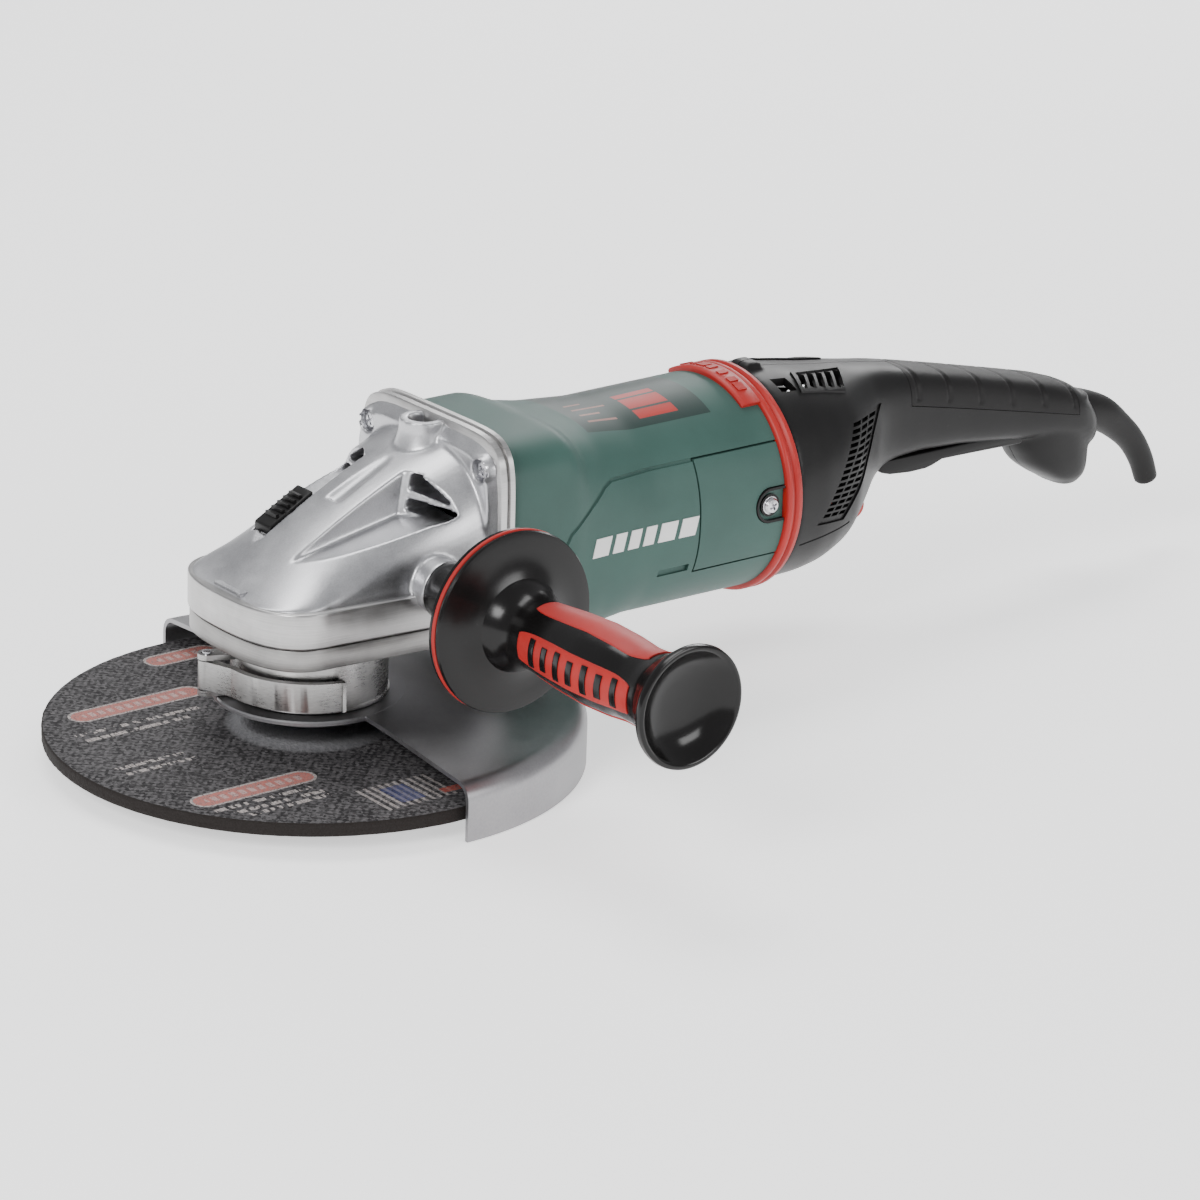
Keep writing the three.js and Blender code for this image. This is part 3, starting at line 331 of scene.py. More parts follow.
# The same about the motor axis, with points [radius, x].
def turnedX(profile, sides=96):
    form = turned(profile, sides)
    bmesh.ops.rotate(form, cent=(0, 0, 0), matrix=Matrix.Rotation(pi / 2, 3, "Y"), verts=form.verts)
    bmesh.ops.translate(form, vec=(0, 0, motorZ), verts=form.verts)
    return form


# The same about an axis along Y through (x, z), with points [radius, y].
def turnedY(profile, x, z, sides=96):
    form = turned(profile, sides)
    bmesh.ops.rotate(form, cent=(0, 0, 0), matrix=Matrix.Rotation(-pi / 2, 3, "X"), verts=form.verts)
    bmesh.ops.translate(form, vec=(x, 0, z), verts=form.verts)
    return form


# An outline in X and Y, given a height.
def slab(points, z0, z1):
    form = bmesh.new()
    face = form.faces.new([form.verts.new((x, y, z0)) for x, y in points])
    made = bmesh.ops.extrude_face_region(form, geom=[face])
    lifted = [part for part in made["geom"] if isinstance(part, bmesh.types.BMVert)]
    bmesh.ops.translate(form, vec=(0, 0, z1 - z0), verts=lifted)
    bmesh.ops.recalc_face_normals(form, faces=form.faces)
    return form


# An outline in X and Z, given a width along Y.
def slabY(points, y0, y1):
    form = slab(points, -y1, -y0)
    bmesh.ops.rotate(form, cent=(0, 0, 0), matrix=Matrix.Rotation(pi / 2, 3, "X"), verts=form.verts)
    return form


# An outline in Y and Z, given a length along X.
def slabX(points, x0, x1):
    form = slab(points, x0, x1)
    turn = Matrix(((0, 0, 1), (1, 0, 0), (0, 1, 0)))
    bmesh.ops.rotate(form, cent=(0, 0, 0), matrix=turn, verts=form.verts)
    return form


# Wraps a grid through a list of rings with the same number of points, and closes both ends.
def loft(rings):
    around = len(rings[0])
    along = len(rings) - 1
    form = bmesh.new()
    bmesh.ops.create_grid(form, x_segments=around, y_segments=along, size=0.5)
    for vert in form.verts:
        side = round((vert.co.x + 0.5) * around) % around
        vert.co = rings[round((vert.co.y + 0.5) * along)][side]
    bmesh.ops.remove_doubles(form, verts=form.verts, dist=0.0005)
    bmesh.ops.holes_fill(form, edges=[edge for edge in form.edges if edge.is_boundary], sides=0)
    bmesh.ops.recalc_face_normals(form, faces=form.faces)
    return form


def mirrored(form):
    other = form.copy()
    bmesh.ops.scale(other, vec=(1, -1, 1), verts=other.verts)
    bmesh.ops.reverse_faces(other, faces=other.faces)
    return other


def together(*forms):
    whole = bmesh.new()
    for form in forms:
        mesh = bpy.data.meshes.new("part")
        form.to_mesh(mesh)
        form.free()
        whole.from_mesh(mesh)
        bpy.data.meshes.remove(mesh)
    return whole


def spare(form):
    mesh = bpy.data.meshes.new("part")
    form.to_mesh(mesh)
    form.free()
    obj = bpy.data.objects.new("part", mesh)
    bpy.context.collection.objects.link(obj)
    return obj


def evaluated(obj):
    shape = bpy.data.meshes.new_from_object(obj.evaluated_get(bpy.context.evaluated_depsgraph_get()))
    form = bmesh.new()
    form.from_mesh(shape)
    bpy.data.meshes.remove(shape)
    return form


def discard(*objects):
    for obj in objects:
        mesh = obj.data
        bpy.data.objects.remove(obj)
        bpy.data.meshes.remove(mesh)


def solidly(form, operation, tools):
    base = spare(form)
    others = [spare(tool) for tool in tools]
    for other in others:
        step = base.modifiers.new("solid", "BOOLEAN")
        step.operation = operation
        step.solver = "MANIFOLD"
        step.object = other
    result = evaluated(base)
    discard(base, *others)
    return result


def cut(form, *tools):
    return solidly(form, "DIFFERENCE", tools)


def join(form, *tools):
    return solidly(form, "UNION", tools)


def common(form, *tools):
    return solidly(form, "INTERSECT", tools)


# Turns a solid into an even skin and rounds its edges, as a casting or moulding has.
def cast(form, voxel, smoothing, factor=0.5):
    obj = spare(form)
    step = obj.modifiers.new("skin", "REMESH")
    step.mode = "VOXEL"
    step.voxel_size = voxel
    result = evaluated(obj)
    discard(obj)
    for turn in range(smoothing):
        bmesh.ops.smooth_vert(result, verts=result.verts, factor=factor, use_axis_x=True, use_axis_y=True,
                              use_axis_z=True)
    return result


def roundEdges(form, width, angle=35, segments=2, chosen=None):
    bmesh.ops.remove_doubles(form, verts=form.verts, dist=0.002)
    sharp = [edge for edge in form.edges if len(edge.link_faces) == 2
             and edge.calc_face_angle(0) > radians(angle) and (chosen is None or chosen(edge))]
    bmesh.ops.bevel(form, geom=sharp, offset=width, segments=segments, affect="EDGES", profile=0.5,
                    material=-1, clamp_overlap=True)
    return form


def make(name, form, finish, body, nodes=(), sharp=32):
    bmesh.ops.scale(form, vec=(0.001, 0.001, 0.001), verts=form.verts)
    mesh = bpy.data.meshes.new(name)
    form.to_mesh(mesh)
    form.free()
    mesh.polygons.foreach_set("use_smooth", [True] * len(mesh.polygons))
    mesh.set_sharp_from_angle(angle=radians(sharp))
    mesh.materials.append(finishes[finish])
    obj = bpy.data.objects.new(name, mesh)
    bpy.context.collection.objects.link(obj)
    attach(obj, body)
    if nodes:
        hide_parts(*nodes)
    return obj


def signedPower(value, power):
    return (abs(value) ** power) * (1 if value > 0 else -1)


def between(value, a, b, c, d):
    return c + (d - c) * (value - a) / (b - a)


# Rows of numbers read at x, averaged over a short span so that corners in the table turn softly.
def eased(rows, x, spread=0.0):
    def at(spot):
        spot = min(max(spot, rows[0][0]), rows[-1][0])
        for low, high in zip(rows, rows[1:]):
            if spot <= high[0]:
                t = (spot - low[0]) / (high[0] - low[0])
                return [a + (b - a) * t for a, b in zip(low[1:], high[1:])]
    taps = 9 if spread else 1
    reads = [at(x + (spread * (2 * i / (taps - 1) - 1) if spread else 0)) for i in range(taps)]
    return [sum(values) / taps for values in zip(*reads)]


# A rounded section across X. The power runs from 2, an ellipse, up towards a box.
def section(x, halfWidth, top, bottom, power, sides=96):
    middle, half = (top + bottom) / 2, (top - bottom) / 2
    points = []
    for i in range(sides):
        angle = 2 * pi * (i + 0.5) / sides
        points.append(Vector((x, halfWidth * signedPower(cos(angle), 2 / power),
                              middle + half * signedPower(sin(angle), 2 / power))))
    return points


def steps(start, end, count):
    return [start + (end - start) * i / count for i in range(count + 1)]


# A round tube along a line of points in the XZ plane or in space, with a radius at each point.
def tube(points, radii, sides=24):
    points = [Vector(point) for point in points]
    rings = []
    for i, point in enumerate(points):
        ahead = points[min(i + 1, len(points) - 1)] - points[max(i - 1, 0)]
        side = Vector((0, 1, 0)) if abs(ahead.normalized().y) < 0.9 else Vector((0, 0, 1))
        across = ahead.cross(side).normalized()
        other = ahead.cross(across).normalized()
        rings.append([point + radii[i] * (across * cos(2 * pi * k / sides) + other * sin(2 * pi * k / sides))
                      for k in range(sides)])
    return loft(rings)


print("tools ready")


# ---- gear head ----
head = {"noseX": -47, "noseFrom": -18, "halfWidth": 44.5, "nosePower": 2.6, "widening": 7.5 / 80,
        "roofStart": -44, "roofZ": 75, "slope": 0.515, "bulge": 4, "length": 106, "lipBottom": 60,
        "lipTop": 76,
        "inset": 3, "ridgeY": 13.5, "voxel": 0.85, "smoothing": 2}


def planHalfWidth(x):
    if x >= head["noseFrom"]:
        return head["halfWidth"] + (x - head["noseFrom"]) * head["widening"]
    u = min((head["noseFrom"] - x) / (head["noseFrom"] - head["noseX"]), 1)
    return head["halfWidth"] * (1 - u ** head["nosePower"]) ** (1 / head["nosePower"])


def planOutline(inset, rearX, count=28):
    power = head["nosePower"]
    reach = head["noseFrom"] - head["noseX"] - inset
    side = []
    for i in range(count + 1):
        turn = cos(pi / 2 * i / count)
        x = head["noseFrom"] - reach * turn ** (2 / power)
        y = (head["halfWidth"] - inset) * max(1 - ((head["noseFrom"] - x) / reach) ** power, 0) ** (1 / power)
        side.append((x, y))
    side.append((rearX, planHalfWidth(rearX) - inset))
    return side + [(x, -y) for x, y in side[:0:-1]]


def roofZ(x):
    t = (x - head["roofStart"]) / head["length"]
    return head["roofZ"] + head["slope"] * (x - head["roofStart"]) + head["bulge"] * sin(pi * min(t, 1))


def headRing(x, count=44):
    half = planHalfWidth(x) - head["inset"]
    power = 1.5 + 1.35 * (x - head["roofStart"]) / head["length"]
    rise = max(roofZ(x) - head["lipTop"], 0.4)
    floor = 66 if x < 44 else between(x, 44, 64, 60, 33)
    points = [Vector((x, half, floor))]
    for i in range(count + 1):
        angle = pi * i / count
        points.append(Vector((x, half * signedPower(cos(angle), 2 / power),
                              head["lipTop"] + rise * max(sin(angle), 0) ** (2 / power))))
    points.append(Vector((x, -half, floor)))
    return points


def wedgeRecess():
    y = -head["ridgeY"]
    front = [(-20, y, 150), (-20, y, 88.5), (-19.6, -60, 93.3), (-19.6, -60, 150)]
    rear = [(44, y, 150), (34.4, -14.5, 99.7), (55, -60, 108.6), (60, -60, 150)]
    return loft([[Vector(point) for point in ring] for ring in (front, rear)])


def gearHead():
    xs = [-44, -43.2, -42] + steps(-40, 64, 52)
    shell = loft([headRing(x) for x in xs])
    boss = turned([(0, 112), (15.5, 112), (13, 122), (11.2, 128), (10.5, 131), (10.5, 136), (0, 136)])
    bmesh.ops.translate(boss, vec=(58, 0, 0), verts=boss.verts)
    arms = turnedY([(0, -54), (11.4, -54), (12, -53.4), (12, 53.4), (11.4, 54), (0, 54)], 32.3, 78.5)
    collar = loft([section(x, w, t, 34, 6, 72) for x, w, t in ((57.5, 47.5, 129.5), (62.5, 49.5, 134.5),
                                                                     (66, 49.5, 135.5))])
    pads = [rod((57, side * 40.5, 122.5), (63, side * 41, 123), 5.8, 7.2) for side in (-1, 1)]
    whole = join(shell, boss, arms, collar, *pads)
    ceiling = ((-39, 72), (-34, 75.6), (-20, 80), (4, 83.4), (18, 90.5), (44, 92))
    rings = []
    for x, top in ceiling:
        half = min(planHalfWidth(x) - 8, 41)
        eaves = min(76, top - 3)
        corners = ((half, 59), (half, eaves), (half - 8, top), (8 - half, top), (-half, eaves), (-half, 59))
        rings.append([Vector((x, y, z)) for y, z in corners])
    chamber = loft(rings)
    air = loft([section(x, w, t, b, 6, 32) for x, w, t, b in ((51, 38, 108, 60), (56, 38, 112, 50),
                                                             (62.5, 39, 117, 40), (72, 46, 129, 36))])
    trough = rod((8, 0, 112), (38, 0, 127.5), 7.4, sides=48)
    front, back, depth = -11.5, 12.5, 10
    well = slabY([(front, roofZ(front) - depth), (back, roofZ(back) - depth), (back, 140), (front, 140)],
                 14.7, 28)
    upper = [(-17, 111.3), (-17, 119), (-22, 118.4), (-38, 109.5), (-38, 108.3)]
    lower = [(-17, 102.5), (-17, 108), (-41, 106), (-41, 103), (-36, 101.5)]
    windows = [slabX(upper, 30, 58), slabX(lower, 30, 58)]
    both = [wedgeRecess(), *windows]
    both += [mirrored(tool) for tool in both]
    bores = [rod((58, 0, 119), (58, 0, 140), 6.6), rod((32.3, -60, 78.5), (32.3, -42.5, 78.5), 7),
             rod((32.3, 60, 78.5), (32.3, 42.5, 78.5), 7), rod((0, 16.5, 70), (0, 16.5, 110), 3)]
    seats = [rod((50, side * 41, 123), (62, side * 41, 123), 5) for side in (-1, 1)]
    carved = cut(whole, chamber, air, trough, well, *both, *bores, *seats)
    return cast(carved, head["voxel"], head["smoothing"])


make("gearHead", gearHead(), "cast", "housing", ("gear_housing",), 60)
band = roundEdges(slab(planOutline(0, 60), head["lipBottom"], head["lipTop"]), 1.0, 40, 3)
make("gearHeadBand", band, "machined", "housing", sharp=40)
lip = loft([section(x, w, t, b, 6.5, 128) for x, w, t, b in (
    (62, 50.6, 136.6, 31.4), (62.4, 51.4, 137.4, 30.6), (65.4, 51.4, 137.4, 30.6), (65.9, 50.6, 136.6, 31.4),
    (66.4, 50.6, 136.6, 31.4), (66.8, 52, 138, 30), (69.2, 52, 138, 30), (69.5, 51.4, 137.4, 30.6))])
make("gearHeadRearLip", lip, "machined", "housing", sharp=28)
badge = join(block(-42.5, -38.5, -9.5, 10.5, 70, 77.6), block(-43, -38, -9.9, -7.4, 70, 78.1))
make("noseBar", roundEdges(badge, 0.4), "cast", "housing")
baffle = loft([section(x, 38, 112, 54, 5, 48) for x in (56.4, 57.4)])
baffle = cut(baffle, rod((50, 0, motorZ), (60, 0, motorZ), 26, sides=64))
make("airBaffle", baffle, "black", "housing")
print("gear head made")


# ---- fixings ----
screw = {"rise": 2.3, "washer": 1.12, "socketDepth": 1.2, "armHalf": 0.55, "armReach": 0.56,
         "radius": 4, "headX": 61.4, "flangeZ": 52.3, "coverRadius": 3.7, "coverY": 49.3}


# A pan head with a cross recess and a washer ring, standing on a point and facing along a direction.
def panScrew(base, way, radius):
    rise = screw["rise"]
    washer, floor = radius * screw["washer"], rise - screw["socketDepth"]
    reach, half = radius * screw["armReach"], screw["armHalf"]
    form = turned([(0, -0.6), (washer, -0.6), (washer, 0.1), (radius, 0.2), (radius, rise * 0.45),
                   (radius * 0.8, rise * 0.85), (radius * 0.45, rise), (0, rise)], 40)
    socket = join(block(-reach, reach, -half, half, floor, 9), block(-half, half, -reach, reach, floor, 9))
    form = cut(form, socket)
    turn = Vector(way).to_track_quat("Z", "Y").to_matrix().to_4x4()
    spin = Matrix.Rotation(radians(28), 4, "Z")
    bmesh.ops.transform(form, matrix=Matrix.Translation(base) @ turn @ spin, verts=form.verts)
    return form


headScrews = ((-41, 123), (-43, 40), (41, 123), (43, 40))
for i, (y, z) in enumerate(headScrews):
    form = panScrew((screw["headX"], y, z), (-1, 0, 0), screw["radius"])
    make(f"headScrew{i + 1}", form, "steel", "housing", (f"gear_housing_screw_{i + 1}",))
flangeScrews = ((-33, 29), (-33, -29), (31, 38), (31, -38))
for i, (x, y) in enumerate(flangeScrews):
    form = panScrew((x, y, screw["flangeZ"]), (0, 0, -1), screw["radius"])
    make(f"flangeScrew{i + 1}", form, "steel", "housing", (f"bearing_flange_screw_{i + 1}",))


# ---- bearing flange ----
flange = {"top": 59.6, "bottom": 50, "inset": 0.8, "rearX": 46, "neckRadius": 30.3, "neckBottom": 31.4}


def bearingFlange():
    plate = slab(planOutline(flange["inset"], flange["rearX"]), flange["bottom"], flange["top"])
    roundEdges(plate, 0.6, 40)
    ears = [rod((x, side * y, 50.2), (x, side * y, 58.4), 8.4)
            for x, y in ((33, 37.5), (47, 38)) for side in (-1, 1)]
    r, low = flange["neckRadius"], flange["neckBottom"]
    neckPart = turned([(0, low), (r - 0.5, low), (r, low + 0.6), (r, 51), (0, 51)])
    seat = turned([(0, 20), (17, 20), (17, 37.7), (20.3, 37.7), (20.3, 62), (0, 62)])
    holes = []
    for x, y in flangeScrews:
        holes += [rod((x, y, 40), (x, y, 62), 2.4), rod((x, y, 40), (x, y, 53), 4.9)]
    return cut(join(plate, neckPart, *ears), seat, *holes)


make("bearingFlange", bearingFlange(), "machinedDark", "housing", ("bearing_flange",), 40)
print("bearing flange made")


# ---- grinding disc ----
wheel = {"radius": 115, "bottom": 2, "top": 8, "chips": 0.45}


def grindingDisc():
    r, low, high = wheel["radius"], wheel["bottom"], wheel["top"]
    rows = [(13.4, 6.5), (27, 6.5), (31, 4.4), (35, low)] + [(x, low) for x in steps(45, r - 0.5, 8)]
    rows += [(r, z) for z in steps(low + 0.5, high - 0.5, 4)]
    rows += [(x, high) for x in steps(r - 0.5, 45, 8)] + [(35, high), (31, 10.3), (27, 12.5), (13.4, 12.5)]
    form = turned(rows, 300)
    for vert in form.verts:
        out = Vector((vert.co.x, vert.co.y, 0))
        if out.length > r - 1:
            chip = 0.5 + 0.5 * noise.noise(vert.co * 0.9) + 0.25 * noise.noise(vert.co * 2.3)
            vert.co -= out.normalized() * max(chip, 0) * wheel["chips"]
    return form


make("grindingDisc", grindingDisc(), "abrasive", "spindle_set", ("grinding_disc",), 50)
bush = roundEdges(turned([(11.1, 6.4), (13.2, 6.4), (13.2, 12.6), (11.1, 12.6)]), 0.3)
make("discBush", bush, "steel", "spindle_set", ("disc_bush",))
nut = turned([(7.3, 1.2), (19, 1.2), (19.5, 2), (19.5, 6), (7.3, 6)])
nut = cut(nut, *[rod((15 * cos(a), 15 * sin(a), 0), (15 * cos(a), 15 * sin(a), 4.5), 2.4)
                 for a in (0, pi / 2, pi, 3 * pi / 2)])
make("clampNut", nut, "darkSteel", "spindle_set", ("clamp_nut",))
seatRing = turned([(7.3, 8), (10.8, 8), (10.8, 12.8), (20.6, 12.8), (21, 13.2), (21, 16.6), (20.4, 17.2),
                   (14, 19), (7.3, 19)])
make("supportFlange", seatRing, "darkSteel", "spindle_set", ("support_flange",))
print("disc and its nuts made")


# ---- guard, collar and lever ----
shield = {"radius": 120.2, "sheet": 2, "hub": 42, "topZ": 24, "rimZ": 19.5, "bottom": -6, "corner": 8,
          "inner": 30.7}


def guardCover():
    r, t, corner, rim = shield["radius"], shield["sheet"], shield["corner"], shield["rimZ"]

    def bend(size, count=8):
        return [(r - corner + size * cos(a), rim - corner + size * sin(a)) for a in steps(pi / 2, 0, count)]

    inner, hub, top = shield["inner"], shield["hub"], shield["topZ"]
    profile = [(inner, top - t), (inner, top), (hub - 3, top), (hub, top - 0.1), (60, 23.2)] + bend(corner)
    profile += [(r, shield["bottom"] + 0.3), (r - 0.4, shield["bottom"]), (r - t, shield["bottom"])]
    profile += bend(corner - t)[::-1] + [(60, 23.2 - t), (hub, top - t)]
    cover = turned(profile, 240)
    front = slab([(0, -43), (-3.5, -125), (-130, -125), (-130, 125), (4, 125), (1.4, 43)], -20, 40)
    narrow = turned([(inner, top - t), (inner, top), (hub - 0.6, top), (hub, top - 0.6), (hub, top - t)], 128)
    return join(cut(cover, front), narrow)


make("guardCover", guardCover(), "zinc", "guard_set", ("guard",), 30)
clamp = {"pivotR": 45, "pivotAngle": 158, "pinRadius": 2, "boreRadius": 2.3}
pivotPoint = Vector((clamp["pivotR"] * cos(radians(clamp["pivotAngle"])),
                     clamp["pivotR"] * sin(radians(clamp["pivotAngle"])), 0))


def onCircle(radius, degrees):
    return (radius * cos(radians(degrees)), radius * sin(radians(degrees)))


def atPivot(radius, z0, z1):
    return rod(pivotPoint + Vector((0, 0, z0)), pivotPoint + Vector((0, 0, z1)), radius)


def guardCollar():
    ring = turned([(30.7, 24.3), (34, 24.3), (34.5, 24.9), (34.5, 26), (34, 26.6), (34, 48.4), (33.4, 49.2),
                   (30.7, 49.2)], 128)
    ear = [onCircle(33, 165), onCircle(33, 151), onCircle(46, 153), onCircle(46, 163)]
    lugs = [join(atPivot(4, z0, z1), slab(ear, z0, z1)) for z0, z1 in ((24.3, 26.7), (40.6, 43))]
    return cut(join(ring, *lugs), atPivot(clamp["boreRadius"], 20, 50))


def guardLever():
    inner, thick, bottom, top, start, end = 36.5, 3, 27.3, 40, 174, 256
    arc = steps(start, end, 40)
    outer = inner + thick
    band = slab([onCircle(inner, a) for a in arc] + [onCircle(outer, a) for a in arc[::-1]], bottom, top)
    lipEnd = [onCircle(inner - 1.6, end - 0.4), onCircle(outer + 1.0, end - 0.4),
              onCircle(outer + 1.0, end + 1.8), onCircle(inner - 1.6, end + 1.8)]
    root = [onCircle(inner, start + 4), onCircle(outer, start + 4), onCircle(46.5, 162), onCircle(42, 159)]
    whole = join(band, slab(lipEnd, bottom - 0.3, top + 0.3), slab(root, bottom, top),
                 atPivot(3.8, bottom, top))
    return roundEdges(cut(whole, atPivot(clamp["boreRadius"], 20, 50)), 0.35, 50)


make("guardCollar", guardCollar(), "plated", "guard_set", ("guard_collar",), 35)
make("guardLever", guardLever(), "plated", "lever", ("guard_lever",), 35)
pin = roundEdges(atPivot(clamp["pinRadius"], 24.4, 44), 0.3)
make("leverPin", pin, "steel", "guard_set", ("lever_pin",))
print("guard made")


# ---- spindle lock ----
def lockButton():
    x0, x1, top, bottom = -10.8, 11.8, 1.4, 5.5
    cap = slabY([(x0, roofZ(x0) - bottom), (x1, roofZ(x1) - bottom), (x1, roofZ(x1) - top),
                 (x0, roofZ(x0) - top)], 15.4, 27.3)
    grips = [block(x - 0.8, x + 0.8, 17.4, 25.4, roofZ(x) - 1.7, roofZ(x) - 0.2) for x in steps(-5.5, 6.5, 4)]
    roundEdges(cap, 0.9, 40, 3)
    return join(cap, *grips, rod((0, 16.5, 68.6), (0, 16.5, roofZ(0) - 2.5), 2.3))


make("lockButton", lockButton(), "black", "lock", ("lock_button",))
print("lock made")


# ---- motor housing ----
motor = {"x0": 69.8, "x1": 222, "wall": 3, "ease": 3, "seam": 0.42, "groove": 0.95, "grooveZ": 107.3,
         "sections": ((70, 51, 131.5, 30.5, 5), (105, 51, 131.5, 30.5, 5), (111.5, 49.6, 128.9, 30.7, 3.5),
                      (125, 48.8, 127.8, 30.7, 2.8), (150, 48.3, 127.3, 30.7, 2.3), (222, 50, 129, 29, 2.05)),
         "cover": (174.5, 223, 56, 107.6), "coverScrew": (214, 81), "slot": (154, 171, 57.4, 60.8)}


def motorBody(wall=0.0, x0=motor["x0"], x1=motor["x1"], sides=144):
    rings = []
    for x in steps(x0, x1, 70):
        w, t, b, power = eased(motor["sections"], x, motor["ease"])
        shrink = wall + max(0.7 - (x - motor["x0"]), 0) * 0.8 * (wall == 0)
        rings.append(section(x, w - shrink, t - shrink, b + shrink, power, sides))
    return loft(rings)


def coverBlock(margin):
    x0, x1, z0, z1 = motor["cover"]
    return block(x0 - margin, x1 + 4, -60, -28, z0 - margin, z1 + margin)


# The D-shaped sink round the cover's screw.
def coverSink(radius, inner):
    x, z = motor["coverScrew"]
    half = radius - 0.02
    bore = rod((x, -60, z), (x, inner, z), radius, sides=48)
    return join(bore, block(x, 226, -60, inner, z - half, z + half))


def halfWidthAt(x, z, rows, ease):
    w, t, b, power = eased(rows, x, ease)
    return w * (1 - min(abs((z - (t + b) / 2) / ((t - b) / 2)), 1) ** power) ** (1 / power)


def onMotor(x, z):
    return Vector((x, -halfWidthAt(x, z, motor["sections"], motor["ease"]), z))


def sideGroove():
    line = [(95, 40), (95, 78), (101, 89)] + [(101 + 2.35 * i, 89 + 1.83 * i) for i in range(1, 10)]
    line += [(x, motor["grooveZ"]) for x in steps(127, 219, 30)]
    points = [onMotor(x, z) for x, z in line]
    return tube(points, [motor["groove"]] * len(points), 10)


def motorHousing():
    shell = motorBody()
    hollow = motorBody(motor["wall"], motor["x0"] - 1, motor["x1"] + 1, 72)
    x0, x1, z0, z1 = motor["slot"]
    near = [coverBlock(motor["seam"]), sideGroove(), block(x0, x1, -60, -43.9, z0, z1)]
    tools = near + [mirrored(tool) for tool in near]
    tools += [rod((60, y, z), (84, y, z), 2.4) for y, z in headScrews]
    return cut(shell, hollow, *tools)


def brushCover():
    shell = cut(motorBody(), motorBody(motor["wall"], motor["x0"] - 1, motor["x1"] + 1, 72))
    return cut(common(shell, coverBlock(-motor["seam"])), coverSink(8.4, -48.2))


# The black liner in the sink: a low rim, and a floor that the screw stands on.
def coverLiner():
    x, z = motor["coverScrew"]
    liner = cut(coverSink(8.1, -46.4), coverSink(7.0, -47.6), rod((x, -60, z), (x, -40, z), 2.2))
    trimmed = cut(liner, block(200, 240, -70, -50.1, 60, 110), block(221.6, 240, -70, -30, 60, 110))
    return join(trimmed, cut(rod((x, -49.2, z), (x, -47, z), 5.2), rod((x, -60, z), (x, -40, z), 2.2)))


make("motorHousing", motorHousing(), "green", "housing", ("motor_housing",), 26)
for name, turn in (("right", lambda form: form), ("left", mirrored)):
    make(f"brushCover_{name}", turn(brushCover()), "green", "housing",
         (f"brush_cover_{name}",), 26)
    make(f"coverLiner_{name}", turn(coverLiner()), "black", "housing", sharp=30)
    side = -1 if name == "right" else 1
    x, z = motor["coverScrew"]
    form = panScrew((x, side * screw["coverY"], z), (0, side, 0), screw["coverRadius"])
    make(f"coverScrew_{name}", form, "steel", "housing", (f"brush_cover_screw_{name}",))


# Plain slanted bars in white, standing just proud of the side.
def sideBars():
    bars = []
    for x0, width in ((114, 9), (125.5, 6), (134, 6), (142.5, 6), (151, 9), (162.5, 9)):
        corners = [(x0, 75), (x0 + width, 75), (x0 + width + 2.2, 83.5), (x0 + 2.2, 83.5)]
        bars.append(slabY(corners, -60, -40))
    skin = cut(motorBody(-0.35, 80, 215), motorBody(0.25, 79, 216, 144))
    return together(*[roundEdges(common(skin.copy(), bar), 0.12, 50, 1) for bar in bars])


make("sideBars", sideBars(), "white", "housing")
print("motor housing made")


# ---- damping ring ----
def dampingRing():
    body = turnedX([(44, 222.3), (51, 222.3), (52, 222.7), (52.6, 223.6), (52.6, 224.9), (52, 225.7),
                    (51.2, 226.2), (51.2, 227), (52, 227.5), (52.6, 228.2), (52.6, 229.8), (52, 230.6),
                    (51, 231), (44, 231)], 160)
    plate = turnedX([(48.5, 212.5), (51.4, 212.5), (52.2, 213.2), (52.5, 214.4), (52.5, 222.6), (51.4, 224),
                     (48.5, 224)], 160)
    wedge = slabX([(0, motorZ), (60 * cos(radians(124)), motorZ + 60 * sin(radians(124))), (0, 145),
                   (60 * cos(radians(62)), motorZ + 60 * sin(radians(62)))], 210, 226)
    tab = cut(common(plate, wedge), motorBody(0, 205, 222))
    bars = []
    for degrees in (70, 78, 84, 90, 98, 106, 112):
        half = 1.6 if degrees % 4 else 2.6
        bar = block(215.5, 220.5, -half, half, 50, 53)
        bmesh.ops.rotate(bar, cent=(0, 0, 0), matrix=Matrix.Rotation(radians(degrees - 90), 3, "X"),
                         verts=bar.verts)
        bmesh.ops.translate(bar, vec=(0, 0, motorZ), verts=bar.verts)
        bars.append(bar)
    return body, tab, together(*bars)


ringBody, ringTab, ringBars = dampingRing()
make("dampingRing", ringBody, "red", "housing", ("damping_ring",), 40)
make("ringTab", ringTab, "red", "housing", sharp=40)
make("ringBars", ringBars, "redRubber", "housing")
print("damping ring made")


